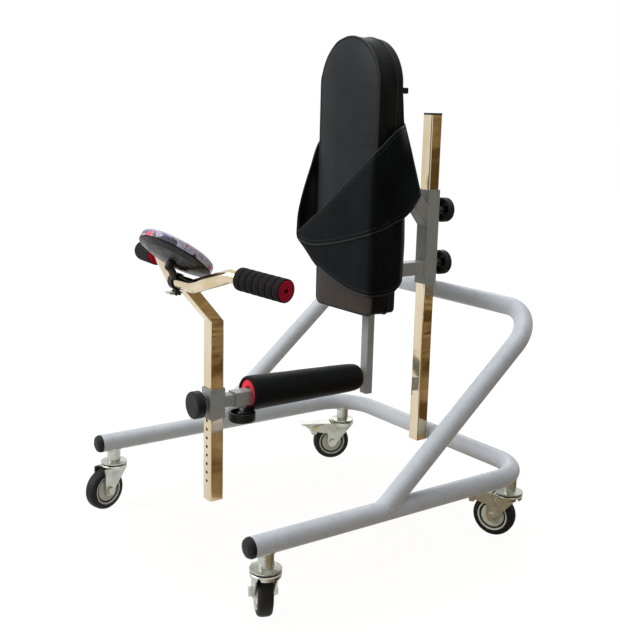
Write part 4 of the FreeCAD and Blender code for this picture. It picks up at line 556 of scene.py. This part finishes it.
# A ring laid round a tube, pressed along it onto the steel that it meets, and given a rippled round section
def weldBead(name, body, onto, start, direction, outline, material):
    direction = Vector(direction).normalized()
    bpy.ops.mesh.primitive_circle_add(vertices=len(outline), radius=0.01)
    ring = bpy.context.object
    for vertex, (u, v) in zip(ring.data.vertices, outline):
        vertex.co = (u * mm, v * mm, 0)
    side = Vector((1, 0, 0)) if abs(direction.x) < 0.9 else Vector((0, 1, 0))
    side = (side - direction * side.dot(direction)).normalized()
    turn = Matrix((side, direction.cross(side), direction)).transposed().to_4x4()
    ring.matrix_world = Matrix.Translation(worldPoint(*start)) @ turn
    press = ring.modifiers.new("press", "SHRINKWRAP")
    press.wrap_method = "PROJECT"
    press.use_project_z = True
    press.use_negative_direction = False
    press.use_positive_direction = True
    press.project_limit = beads["reach"] * mm
    press.target = nodes[onto]
    applyModifiers(ring)
    bpy.ops.object.convert(target="CURVE")
    ring = bpy.context.object
    ring.data.bevel_depth = beads["width"] * mm
    ring.data.bevel_resolution = 2
    bpy.ops.object.convert(target="MESH")
    bpy.ops.object.transform_apply()
    for vertex in ring.data.vertices:
        ripple = noise.noise(vertex.co / (beads["rippleMm"] * mm))
        vertex.co += vertex.normal * ripple * beads["ripple"] * mm
    settle(ring, name, body, material)


def roundOutline(radius, count=56):
    turns = [2 * math.pi * i / count for i in range(count)]
    return [(radius * math.cos(turn), radius * math.sin(turn)) for turn in turns]


# A rectangle with rounded corners, as points close enough to be pressed onto a curved tube
def squareOutline(width, depth, corner=2.5):
    points = []
    across, deep = width / 2 - corner, depth / 2 - corner
    centres = [(across, deep, 0), (-across, deep, 90), (-across, -deep, 180), (across, -deep, 270)]
    for x, y, start in centres:
        for step in range(3):
            turn = math.radians(start + 45 * step)
            points.append((x + corner * math.cos(turn), y + corner * math.sin(turn)))
    dense = []
    for index, point in enumerate(points):
        following = points[(index + 1) % len(points)]
        pieces = 8 if index % 3 == 2 else 1  # the straight sides are cut up, the corners' short ones aren't
        for step in range(pieces):
            t = step / pieces
            dense.append((point[0] * (1 - t) + following[0] * t, point[1] * (1 - t) + following[1] * t))
    return dense


# Backrest cushion: millimetres, then the numbers of its foam simulation
pad = {
    "front": 71.4, "width": 164.0, "top": 857.0, "bottom": 386.0, "corner": 14.0,
    "voxel": 4.5, "slim": 1.0, "cap": 3.8, "seam": 5, "seamDeep": 7, "boardEdge": 5, "piping": 1.7,
}
foam = {"frames": 20, "quality": 4, "pressure": 9.0, "tension": 12, "shrink": -0.003}


# Millimetres from a point to the cushion's outline, seen from the front
def edgeDistance(point):
    half = pad["width"] / 2
    x, z = abs(point.x) / mm, point.z / mm
    spring = pad["top"] - half
    if z > spring:
        return half - math.hypot(x, z - spring)
    return min(half - x, z - pad["bottom"])


cushion = nodeCopy("backrest_cushion")
remesh = cushion.modifiers.new("even", "REMESH")
remesh.mode = "VOXEL"
remesh.voxel_size = pad["voxel"] * mm
shrink = cushion.modifiers.new("slimmer", "DISPLACE")
shrink.strength = -pad["slim"] * mm
shrink.mid_level = 0.0
applyModifiers(cushion)
rest = [v.co.copy() for v in cushion.data.vertices]
# The seam round the front and the edge on the board hold still while the foam swells
held = cushion.vertex_groups.new(name="sewnEdge")
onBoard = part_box("backrest_cushion")[1].y - pad["boardEdge"] * mm
onSeam = (pad["front"] + pad["seamDeep"]) * mm
still = []
for vertex in cushion.data.vertices:
    atSeam = edgeDistance(vertex.co) < pad["seam"] and vertex.co.y < onSeam
    if vertex.co.y > onBoard or atSeam:
        still.append(vertex.index)
held.add(still, 1.0, "REPLACE")
cloth = cushion.modifiers.new("foam", "CLOTH")
cloth.settings.quality = foam["quality"]
cloth.settings.use_pressure = True
cloth.settings.uniform_pressure_force = foam["pressure"]
cloth.settings.effector_weights.gravity = 0
cloth.settings.vertex_group_mass = "sewnEdge"
cloth.settings.tension_stiffness = foam["tension"]
cloth.settings.shrink_min = foam["shrink"]
cloth.point_cache.frame_start, cloth.point_cache.frame_end = 1, foam["frames"]
for step in range(1, foam["frames"] + 1):
    scene.frame_set(step)
only(cushion)
bpy.ops.object.modifier_apply(modifier="foam")
for vertex, before in zip(cushion.data.vertices, rest):
    move = vertex.co - before
    if move.length > pad["cap"] * mm:
        vertex.co = before + move.normalized() * pad["cap"] * mm
scene.frame_set(1)
smoothing = cushion.modifiers.new("relax", "SMOOTH")
smoothing.factor, smoothing.iterations = 0.5, 6
refine(cushion, 1)
applyModifiers(cushion)
cushion = settle(
    cushion, "cushionCover", "carriage", cushionVinyl, ("backrest_cushion",), 80)
# Faces behind the front panel take the darker copy, painted shade on the cushion's sides and back
cushion.data.materials.append(shadedSideVinyl)
for face in cushion.data.polygons:
    face.material_index = 1 if face.center.y > (pad["front"] + 3) * mm else 0


def padOutline(grow, y):
    half = pad["width"] / 2 + grow
    spring = pad["top"] + grow - half
    corner = pad["corner"] + grow
    low = pad["bottom"] - grow
    arch = [math.pi * i / 24 for i in range(25)]
    points = [(half * math.cos(a), half * math.sin(a) + spring) for a in arch]
    for x, start in ((-half + corner, 180), (half - corner, 270)):
        for step in range(5):
            turn = math.radians(start + 22.5 * step)
            points.append((x + corner * math.cos(turn), low + corner + corner * math.sin(turn)))
    return [worldPoint(x, y, z) for x, z in points]


# The piping sits half sunk on the cover, so each of its points is laid on the finished cushion first
def laidOn(points, target, sunk):
    laid = []
    for point in points:
        spot, normal = target.closest_point_on_mesh(point)[1:3]
        laid.append(spot + normal * sunk)
    return laid


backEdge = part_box("backrest_cushion")[1].y / mm - 3
pipings = [
    ("cushionPipingFront", pad["front"] + 0.5, pad["piping"]),
    ("cushionPipingBack", backEdge, pad["piping"] * 0.8),
]
for name, y, radius in pipings:
    outline = laidOn(padOutline(0.6, y), cushion, radius * 0.35 * mm)
    piping = roundLine(outline, radius * mm, closed=True)
    settle(piping, name, "carriage", pipingVinyl, crease=80)
print("stage: backrest made")


# Belt of doubled artificial leather: each band is a sheet drawn from pairs of points, one on its upper edge
# and one on its lower, then thickened, rolled along its edges and stitched
belt = {
    "thick": 2.9, "roll": 1.75, "crown": 1.6, "fullCrownFrom": 60, "perStation": 8, "rows": 14,
    "ripple": 1.0, "longWaves": 16, "shortWaves": 41, "bodyMiddle": 105,
    "stitchIn": 7.0, "stitchLong": 3.4, "stitchPitch": 5.0, "thread": 0.45,
}
nearWrap = [
    ((72, 137, 714), (120, 138, 598)),
    ((84, 125, 710), (110, 130, 574)),
    ((91, 111, 705), (98, 120, 557)),
    ((91, 94, 692), (91, 104, 547)),
    ((91, 78, 678), (91, 85, 539)),
    ((88, 62, 664), (88, 62, 533)),
    ((70, 58.4, 648), (71, 58.4, 527)),
    ((28, 58.4, 618), (30, 58.4, 516)),
    ((-10, 58, 590), (-10, 58, 506)),
    ((-50, 57.5, 561), (-53, 57.5, 498)),
    ((-85, 57, 538), (-84, 57, 495)),
    ((-110, 57, 521), (-108, 57, 498)),
    ((-128, 59, 510), (-128, 60, 501)),
    ((-132, 68, 506), (-132, 68, 498)),
]
lowerWrap = [
    ((80, 139, 562), (80, 139, 444)),
    ((86.5, 128, 560), (86.5, 128, 439)),
    ((86.5, 112, 558), (86.5, 112, 428)),
    ((86.5, 86, 556), (86.5, 86, 425)),
    ((84, 67, 555), (84, 67, 425)),
    ((66, 62.9, 553), (66, 62.9, 425.5)),
    ((26, 62.9, 545), (26, 62.9, 429)),
    ((-21, 62.9, 530), (-21, 62.9, 441)),
    ((-56, 62.5, 520), (-56, 62, 454)),
    ((-76, 62, 514), (-74, 61.5, 461)),
    ((-104, 61, 508), (-104, 60, 485)),
    ((-127, 62, 505), (-127, 61, 499)),
]
farWrap = [
    ((-127, 58, 512), (-128, 60, 503)),
    ((-125, 59, 545), (-131, 72, 496)),
    ((-114, 61, 586), (-134, 84, 498)),
    ((-100, 66, 630), (-137, 98, 508)),
    ((-92, 76, 673), (-136, 110, 524)),
    ((-91, 96, 694), (-131, 124, 558)),
    ((-84, 120, 707), (-123, 134, 588)),
    ((-72, 138, 714), (-120, 138, 598)),
]
backBand = [
    ((97, 142, 630), (112, 141.5, 602)),
    ((80, 144.5, 631), (84, 144.5, 588)),
    ((40, 145.5, 630), (40, 145.5, 578)),
    ((0, 145.5, 629), (0, 145.5, 577)),
    ((-40, 145.5, 630), (-40, 145.5, 578)),
    ((-80, 144.5, 631), (-84, 144.5, 588)),
    ((-97, 142, 630), (-112, 141.5, 602)),
]


# A smooth line through the points, in equal steps between each two
def smoothThrough(points, steps):
    padded = [points[0] * 2 - points[1]] + points + [points[-1] * 2 - points[-2]]
    smooth = []
    for a, b, c, d in zip(padded[:-3], padded[1:-2], padded[2:-1], padded[3:]):
        for step in range(steps):
            t = step / steps
            square, cube = 2 * a - 5 * b + 4 * c - d, 3 * b - a - 3 * c + d
            smooth.append(0.5 * (2 * b + (c - a) * t + square * t ** 2 + cube * t ** 3))
    return smooth + [points[-1]]


# The band's outer face as rows of points from the upper edge to the lower, crowned and slightly rippled
def bandPoints(stations):
    upper, lower = ([worldPoint(*pair[i]) for pair in stations] for i in (0, 1))
    upper, lower = smoothThrough(upper, belt["perStation"]), smoothThrough(lower, belt["perStation"])
    rows = belt["rows"]
    grid = []
    for column, (high, below) in enumerate(zip(upper, lower)):
        ahead, behind = min(column + 1, len(upper) - 1), max(column - 1, 0)
        along = upper[ahead] + lower[ahead] - upper[behind] - lower[behind]
        outward = along.cross(below - high).normalized()
        middle = (high + below) / 2
        if outward.dot(middle - Vector((0, belt["bodyMiddle"] * mm, middle.z))) < 0:
            outward = -outward
        width = (below - high).length
        line = []
        for row in range(rows + 1):
            share = row / rows
            point = high.lerp(below, share)
            arch = math.sin(math.pi * share) * min(1.0, width / (belt["fullCrownFrom"] * mm))
            waves = noise.noise(point * belt["longWaves"]) + 0.5 * noise.noise(point * belt["shortWaves"])
            line.append(point + outward * (belt["crown"] * arch + belt["ripple"] * waves * arch) * mm)
        grid.append((line, outward))
    return grid


# One band of the belt as a thick sheet with rolled and stitched edges, and its area before it is thickened
def leatherBand(name, stations, stands):
    grid = bandPoints(stations)
    columns, rows = len(grid) - 1, belt["rows"]
    bpy.ops.mesh.primitive_grid_add(x_subdivisions=columns, y_subdivisions=rows, size=1)
    sheet = bpy.context.object
    for vertex in sheet.data.vertices:
        column, row = round((vertex.co.x + 0.5) * columns), round((vertex.co.y + 0.5) * rows)
        vertex.co = grid[column][0][row]
    sheet.data.update()
    facing = 0
    for face in sheet.data.polygons:
        inside = Vector((0, belt["bodyMiddle"] * mm, face.center.z))
        facing += face.normal.dot(face.center - inside)
    if facing < 0:
        sheet.data.flip_normals()
    area = sum(face.area for face in sheet.data.polygons)
    wall = sheet.modifiers.new("thickness", "SOLIDIFY")
    wall.thickness, wall.offset = belt["thick"] * mm, -1
    refine(sheet, 1)
    applyModifiers(sheet)
    sheet = settle(sheet, name, "carriage", beltLeather, stands, 60)
    inset = belt["thick"] / 2 * mm
    rim = [line[0] - out * inset for line, out in grid]
    rim += [point - grid[-1][1] * inset for point in grid[-1][0][1:-1]]
    rim += [line[-1] - out * inset for line, out in reversed(grid)]
    rim += [point - grid[0][1] * inset for point in reversed(grid[0][0][1:-1])]
    roll = roundLine(rim, belt["roll"] * mm, closed=True, resolution=2)
    settle(roll, name + "Rolled", "carriage", pipingVinyl, crease=80)
    threads = stitches(grid)
    settle(threads, name + "Stitches", "carriage", threadNylon, crease=80)
    return sheet, area


# Lockstitch along both edges: short thread dashes that rise a little from the leather
def stitches(grid):
    dashes = []
    for edge in (0, -1):
        trail = []
        for line, outward in grid:
            inward = line[len(line) // 2] - line[edge]
            if inward.length > 1.6 * belt["stitchIn"] * mm:
                seat = line[edge] + inward.normalized() * belt["stitchIn"] * mm
                trail.append((seat + outward * 0.1 * mm, outward))
        walked, nextAt = 0.0, 0.0
        for (here, out), (there, _) in zip(trail[:-1], trail[1:]):
            span = (there - here).length
            heading = (there - here).normalized()
            stitch = heading * belt["stitchLong"] * mm
            while nextAt < walked + span:
                first = here + heading * (nextAt - walked)
                sunk, raised = out * 0.3 * mm, out * 0.35 * mm
                dashes.append([first - sunk, first + stitch / 2 + raised, first + stitch - sunk])
                nextAt += belt["stitchPitch"] * mm
            walked += span
    return roundLine(dashes, belt["thread"] * mm, resolution=3, sides=1)


def middleLength(stations):
    middles = [(Vector(upper) + Vector(lower)) / 2 for upper, lower in stations]
    return sum((b - a).length for a, b in zip(middles[:-1], middles[1:])) * mm


pieces = [
    ("beltNearWrap", nearWrap, ("belt_near_wrap",)), ("beltLowerWrap", lowerWrap, ("belt_far_wrap",)),
    ("beltFarWrap", farWrap, ("belt_far_wrap",)), ("beltBackBand", backBand, ("belt_back_band",)),
]
for name, stations, stands in pieces:
    sheet, area = leatherBand(name, stations, stands)
    length = middleLength(stations)
    width = max((Vector(a) - Vector(b)).length for a, b in stations) * mm
    held = "stretched" if name == "beltBackBand" else "hung"
    print("belt piece", name, "cut", round(width, 3), "x", round(length, 3), "m, area", round(area, 4), "m2")
print("stage: belt made")


# Webbing straps between the hanger bar and the belt
straps = {"wide": 25, "outside": 76, "thick": 1.6, "pulled": 9, "slack": 0.5, "edge": 0.4}
for sign in (-1, 1):
    low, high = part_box("belt_straps")
    middle = straps["outside"] - straps["wide"] / 2
    bpy.ops.mesh.primitive_grid_add(x_subdivisions=6, y_subdivisions=16, size=1)
    strap = bpy.context.object
    strap.scale = (straps["wide"] * mm, high.z - low.z, 1)
    strap.rotation_euler = (math.radians(90), 0, 0)
    strap.location = (sign * middle * mm, (low.y + high.y) / 2, (low.z + high.z) / 2)
    bpy.ops.object.transform_apply()
    for vertex in strap.data.vertices:
        share = (vertex.co.z - low.z) / (high.z - low.z)
        vertex.co.y += straps["slack"] * mm * math.sin(share * math.pi * 3) * (1 - share)
        vertex.co.x += sign * straps["pulled"] * mm * (1 - share)  # the belt pulls the lower ends outward
    wall = strap.modifiers.new("thickness", "SOLIDIFY")
    wall.thickness, wall.offset = straps["thick"] * mm, 0
    edge = strap.modifiers.new("soft", "BEVEL")
    edge.width, edge.segments = straps["edge"] * mm, 2
    applyModifiers(strap)
    name = "strapLeft" if sign > 0 else "strapRight"
    strap = settle(strap, name, "carriage", webbing, ("belt_straps",), 50)
print("stage: straps made")


# Roller between the legs: a tapered cover over a foam core, with a seam underneath
roller = {
    "front": -125.5, "rear": 111.0, "height": 262.0, "drop": 3.5,
    "frontRadius": 30.0, "rearRadius": 25.5, "wall": 7.0, "seam": 0.9, "foamEdge": 1.2,
    "skinFrom": 20, "creaseMm": 28, "creaseLongMm": 50, "endShare": 0.22,
}
start = worldPoint(0, roller["front"], roller["height"])
end = worldPoint(0, roller["rear"], roller["height"] - roller["drop"])
length = (end - start).length / mm
r1, r2, wall = roller["frontRadius"], roller["rearRadius"], roller["wall"]
outline = [
    (r1 - wall + 0.4, 5.0), (r1 - wall + 0.4, 1.2), (r1 - wall + 2.0, 0.1),
    (r1 - 2.6, 0.0), (r1 - 0.7, 1.4), (r1, 4.5),
]
outline += [(r1 + (r2 - r1) * 0.08 * step, length * 0.08 * step) for step in range(1, 12)]
outline += [
    (r2 - 0.3, length - 12), (r2 - 1.6, length - 5), (r2 - 4.2, length - 1.2),
    (r2 - wall + 0.8, length), (r2 - wall + 0.4, length - 3),
]
cover = stand(lathe(outline, 96), start, end - start)
refine(cover, 2)
applyModifiers(cover)
bpy.ops.object.transform_apply()
axis = (end - start).normalized()
for vertex in cover.data.vertices:
    t = (vertex.co - start).dot(axis) / (end - start).length
    radial = vertex.co - start - axis * (vertex.co - start).dot(axis)
    if radial.length > roller["skinFrom"] * mm:
        ends = max(0.0, 1 - min(t, 1 - t) / roller["endShare"])
        crease, creaseLong = roller["creaseMm"] * mm, roller["creaseLongMm"] * mm
        along = Vector((vertex.co.x / crease, vertex.co.y / creaseLong, vertex.co.z / crease))
        push = noise.noise(along) * 0.5 + noise.noise(along * 3.1) * 0.25 * ends - 0.35
        vertex.co += radial.normalized() * push * mm
cover = settle(cover, "rollerCover", "carriage", coverLeather, ("roller_cover",), 70)
underneath = Vector((0, 0, -1))
route = []
for t in (0.03, 0.2, 0.4, 0.6, 0.8, 0.95):
    route.append(start + axis * length * mm * t + underneath * (r1 + (r2 - r1) * t - 0.3) * mm)
settle(roundLine(route, roller["seam"] * mm), "rollerSeam", "carriage", pipingVinyl, crease=80)
filling = nodeCopy("roller_foam")
rounding = filling.modifiers.new("round", "BEVEL")
rounding.width, rounding.segments = roller["foamEdge"] * mm, 3
rounding.limit_method, rounding.angle_limit = "ANGLE", math.radians(60)
applyModifiers(filling)
filling = settle(filling, "rollerFoam", "carriage", rollerFoam, ("roller_foam",), 40)
print("stage: roller made")


# Foam handgrips: a red core and seven black bands, drawn once along Z and stood on each end of the bar
grip = {
    "start": (134.5, -222.6, 486.5), "sweep": 12.1, "drop": 3.3, "length": 94.8,
    "radius": 17.5, "skin": 1.6, "bands": 7, "groove": 1.5, "bore": 11.05, "hole": 4.0,
}
total, radius = grip["length"], grip["radius"]
coreRadius = radius - grip["skin"]
profile = [
    (grip["bore"], 0.3), (coreRadius - 0.8, 0.3), (coreRadius, 1.1),
    (coreRadius, total - 1.6), (coreRadius - 1.4, total - 0.4), (coreRadius - 2.2, total),
    (coreRadius - 3.0, total), (coreRadius - 3.3, total - 1.3),
    (coreRadius - 4.1, total - 1.3), (coreRadius - 4.4, total),
    (coreRadius - 7.6, total), (coreRadius - 7.9, total - 1.1),
    (coreRadius - 8.6, total - 1.1), (coreRadius - 8.9, total),
    (grip["hole"] + 0.8, total), (grip["hole"], total - 0.9),
    (grip["hole"], total - 4.9), (grip["bore"], total - 4.9),
]
coreShape = lathe(profile, closed=True)
pitch = (total - 2 + grip["groove"]) / grip["bands"]
width = pitch - grip["groove"]
corners = [
    (coreRadius - 0.5, 1.0), (radius, 1.0), (radius + 0.35, 1.0 + width / 2),
    (radius, 1.0 + width), (coreRadius - 0.5, 1.0 + width),
]
band = lathe(roundedProfile(corners, 0.9), closed=True)
bands = [band]
for number in range(1, grip["bands"]):
    twin = copyOf(band)
    twin.location.z = number * pitch * mm
    bands.append(twin)
skinShape = joined(bands)
for sign, label in ((1, "left"), (-1, "right")):
    x, y, z = grip["start"]
    spot = worldPoint(sign * x, y, z)
    fall, sweep = math.radians(grip["drop"]), math.radians(grip["sweep"])
    level = math.cos(fall)
    direction = Vector((sign * level * math.cos(sweep), level * math.sin(sweep), -math.sin(fall)))
    core = stand(copyOf(coreShape), spot, direction)
    core = settle(core, "gripCore_" + label, "post", redFoam, (), 30)
    skin = stand(copyOf(skinShape), spot, direction)
    skin = settle(skin, "gripSkin_" + label, "post", gripFoam, ("handgrip_" + label,), 40)
discard(coreShape, skinShape)
print("stage: grips made")

# Castors: a dark ring in the groove of each wheel as painted shade, a lighter lip on its rim as painted
# highlight, and ribs pressed into the fork
castor = {
    "axle": 37.5, "trail": 24.0, "grooveShade": (21.2, 24.3), "lip": (24.4, 27.6),
    "forkOutside": 16.9, "ribs": (5.0, 10.0, 15.0), "rib": 1.3,
}
castors = {
    "front_right": (-260, -253, -74), "front_left": (260, -253, 155),
    "rear_right": (-242.22, 267.85, -115), "rear_left": (242.22, 267.85, -157),
}
# The dark rubber ring laid in each wheel's groove is painted shade
inner, outer = castor["grooveShade"]
grooveShadeProfile = roundedProfile([(inner, 7.3), (outer, 7.3), (outer, 8.8), (inner, 8.4)], 0.4)
grooveShadeShape = lathe(grooveShadeProfile, 72, closed=True)
inner, outer = castor["lip"]
corners = [(inner, 10.4), (outer, 10.4), (outer, 11.2), (outer - 1.0, 12.0), (inner + 0.5, 11.7)]
lipShape = lathe(roundedProfile(corners, 0.5), 72, closed=True)
for corner, (x, y, heading) in castors.items():
    turn = Matrix.Rotation(math.radians(heading), 3, "Z")
    hub = worldPoint(x, y, castor["axle"]) + turn @ Vector((castor["trail"] * mm, 0, 0))
    across = turn @ Vector((0, 1, 0))
    for shape, label, finish in ((grooveShadeShape, "GrooveShade", tyreRubber), (lipShape, "LitRimLip", litRimPlastic)):
        halves = [stand(copyOf(shape), hub, across), stand(copyOf(shape), hub, -across)]
        settle(joined(halves), "wheel" + label + "_" + corner, "wheel_" + corner, finish, crease=40)
    ribs = []
    outside = castor["forkOutside"]
    for side in (-1, 1):
        for along in castor["ribs"]:
            line = [(along - 2.0, 13.5, 79.3), (along - 0.5, 16.2, 77.6), (along + 1.0, outside, 72),
                    (along + 3.0, outside, 64), (along + 4.5, outside - 0.6, 58)]
            ribs.append([worldPoint(x, y, 0) + turn @ worldPoint(a, side * b, c) for a, b, c in line])
    ribs = roundLine(ribs, castor["rib"] * mm, resolution=4)
    settle(ribs, "forkRibs_" + corner, "castor_" + corner, zincPlate)
discard(grooveShadeShape, lipShape)
print("stage: castor details made")

# Weld beads where tubes meet: (name, body, target node, start, direction, outline, finish)
lean = Vector((0, 332, 282.5)).normalized()
slant = math.radians(51)
down = Vector((0, math.cos(slant), -math.sin(slant)))
legFoot = {"side": 260, "y": -37, "z": 123, "back": 60, "radius": 15.3}
mastBead = {"side": 12.6, "y": 279.2, "radius": 2.2, "step": 2.2, "heights": ((123, "Low"), (405.5, "High"))}
bracket = squareOutline(24.4, 24.4)
nut = roundOutline(8.5, 40)
boss = roundOutline(11.2)
welds = []
for sign, label in ((1, "left"), (-1, "right")):
    start = Vector((sign * legFoot["side"], legFoot["y"], legFoot["z"])) + lean * legFoot["back"]
    outline = roundOutline(legFoot["radius"])
    welds.append(("weldLeg_" + label, "frame", "lower_frame_tube", start, -lean, outline, framePaint))
for corner, (x, y, heading) in castors.items():
    start = (x, y, 92)
    welds.append(("weldBoss_" + corner, "frame", "lower_frame_tube", start, (0, 0, 1), boss, zincPlate))
seatOutline = squareOutline(18.4, 24.4)
armOutline = squareOutline(19.4, 19.4, 2.0)
braceStart = Vector((0, 251.5, 549)) - down * 45
for name, body, target, start, direction, outline in (
        ("weldBrace", "carriage", "carriage_sleeve", braceStart, down, bracket),
        ("weldLowerArm", "carriage", "carriage_sleeve", (0, 235, 450), (0, 1, 0), bracket),
        ("weldSeatArm", "carriage", "backbone_tube", (0, 110, 257), (0, 1, 0), seatOutline),
        ("weldPostSleeve", "front_arm", "post_sleeve", (0, -162, 257), (0, -1, 0), armOutline),
        ("weldNutUpper", "carriage", "carriage_sleeve", (0, 300, 555.5), (0, -1, 0), nut),
        ("weldNutLower", "carriage", "carriage_sleeve", (0, 300, 456.5), (0, -1, 0), nut)):
    welds.append((name, body, target, start, direction, outline, carriagePaint))
for name, body, target, start, direction, outline, finish in welds:
    weldBead(name, body, target, start, direction, outline, finish)
for sign in (-1, 1):
    for height, label in mastBead["heights"]:
        line = []
        for step in range(-4, 5):
            y = mastBead["y"] + 1.4 * abs(step) / 4
            line.append(worldPoint(sign * mastBead["side"], y, height + step * mastBead["step"]))
        bead = roundLine(line, mastBead["radius"] * mm)
        side = "_left" if sign > 0 else "_right"
        settle(bead, "weldMast" + label + side, "frame", framePaint)
print("stage: weld beads made")

# Studio: white to the camera and to reflections, a plain warm grey floor to the light
floorLook = {"colour": "#B9AFA2", "size": 14.0, "strength": 1.07, "nearWhite": 0.87, "drop": 0.4}
bpy.ops.mesh.primitive_plane_add(size=floorLook["size"], location=(0, 0, -floorLook["drop"] * mm))
floor = bpy.context.object
floor.name = "studioFloor"
floorPaint, shader = newFinish("studioFloorPaint", floorLook["colour"], 0.9)
white = addNode(floorPaint, "Emission", {"Color": (1, 1, 1, 1), "Strength": floorLook["strength"]})
onFloor = addNode(floorPaint, "TexCoord").outputs["Object"]
away = addNode(floorPaint, "VectorMath", {0: onFloor}, operation="LENGTH").outputs["Value"]
fade = spread(floorPaint, away, floorLook["nearWhite"], 1.0, 0.2, 0.9)
inputs = {0: seenRays(floorPaint), 1: fade}
share = addNode(floorPaint, "Math", inputs, operation="MULTIPLY").outputs["Value"]
mixed = addNode(floorPaint, "MixShader", {0: share, 1: shader.outputs["BSDF"], 2: white.outputs["Emission"]})
surfaceFrom(floorPaint, mixed.outputs["Shader"])
floor.data.materials.append(floorPaint)
floor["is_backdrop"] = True

skyStrength = {"light": 0.28, "seen": 1.0}
world = bpy.data.worlds.new("studio")
scene.world = world
world.use_nodes = True
skies = []
for part in ("light", "seen"):
    sky = addNode(world, "Background", {"Color": (1, 1, 1, 1), "Strength": skyStrength[part]})
    skies.append(sky.outputs["Background"])
mixed = addNode(world, "MixShader", {0: seenRays(world), 1: skies[0], 2: skies[1]})
surfaceFrom(world, mixed.outputs["Shader"], "World Output")

# White lamps: (name, place, width, watts)
lamps = [
    ("key", (-1.0, -2.2, 1.7), 1.5, 56),
    ("above", (0.1, 0.1, 2.8), 2.2, 36),
    ("rim", (-1.8, 1.6, 1.6), 1.2, 10),
]
target = Vector((0, 0, 0.4))
for name, spot, width, power in lamps:
    bpy.ops.object.light_add(type="AREA", location=spot)
    lamp = bpy.context.object
    lamp.name = name
    lamp.data.size = width
    lamp.data.energy = power
    lamp.rotation_euler = (target - Vector(spot)).to_track_quat("-Z", "Y").to_euler()

# Warm room beside the studio, a wall and its floor, seen only in the polished steel and the gloss
room = {
    "dark": "#6C5534", "light": "#C8AE84", "glow": 0.8,
    "wall": (2.0, 1.5, 0.6), "wallSize": 2.4, "wallAims": (0, 0, 0.6),
    "ground": (1.25, 0.85, 0.002), "groundSize": 2.8, "groundTurn": 36,
}
cardPaint, shader = newFinish("warmCardPaint", room["dark"], 0.9)
inputs = {"Vector": place(cardPaint, (1.6, 1.6, 1)), "Scale": 5.0, "Detail": 3.0}
wave = addNode(cardPaint, "TexNoise", inputs).outputs["Fac"]
tone = blendColours(cardPaint, spread(cardPaint, wave, 0.0, 1.0, 0.42, 0.6), room["dark"], room["light"])
glow = addNode(cardPaint, "Emission", {"Color": tone, "Strength": room["glow"]})
surfaceFrom(cardPaint, glow.outputs["Emission"])
towards = (Vector(room["wallAims"]) - Vector(room["wall"])).to_track_quat("Z", "Y").to_euler()
cards = [
    ("warmWall", room["wall"], room["wallSize"], towards),
    ("warmGround", room["ground"], room["groundSize"], (0, 0, math.radians(room["groundTurn"]))),
]
for name, spot, size, turn in cards:
    bpy.ops.mesh.primitive_plane_add(size=size, location=spot, rotation=turn)
    card = bpy.context.object
    card.name = name
    card.data.materials.append(cardPaint)
    for setting in ("visible_camera", "visible_diffuse", "visible_shadow", "visible_transmission"):
        setattr(card, setting, False)
    card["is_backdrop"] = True

# Camera as fitted to the photograph, metres in the part's frame
view = {
    "eye": (1.35833, -0.97471, 0.73438), "right": (0.57897, 0.81501, 0.02332),
    "up": (-0.18292, 0.10197, 0.97783), "ahead": (-0.79456, 0.5704, -0.20812),
    "lens": 55.15, "sensor": 36, "shift": (0.00107, -0.00424), "near": 0.05, "far": 60,
}
bpy.ops.object.camera_add()
camera = bpy.context.object
axes = (Vector(view["right"]), Vector(view["up"]), -Vector(view["ahead"]))
camera.matrix_world = Matrix.Translation(Vector(view["eye"])) @ Matrix(axes).transposed().to_4x4()
camera.data.sensor_width = view["sensor"]
camera.data.lens = view["lens"]
camera.data.shift_x, camera.data.shift_y = view["shift"]
camera.data.clip_start, camera.data.clip_end = view["near"], view["far"]
scene.camera = camera
scene.view_settings.view_transform = "Standard"
print("stage: studio set")

low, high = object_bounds()
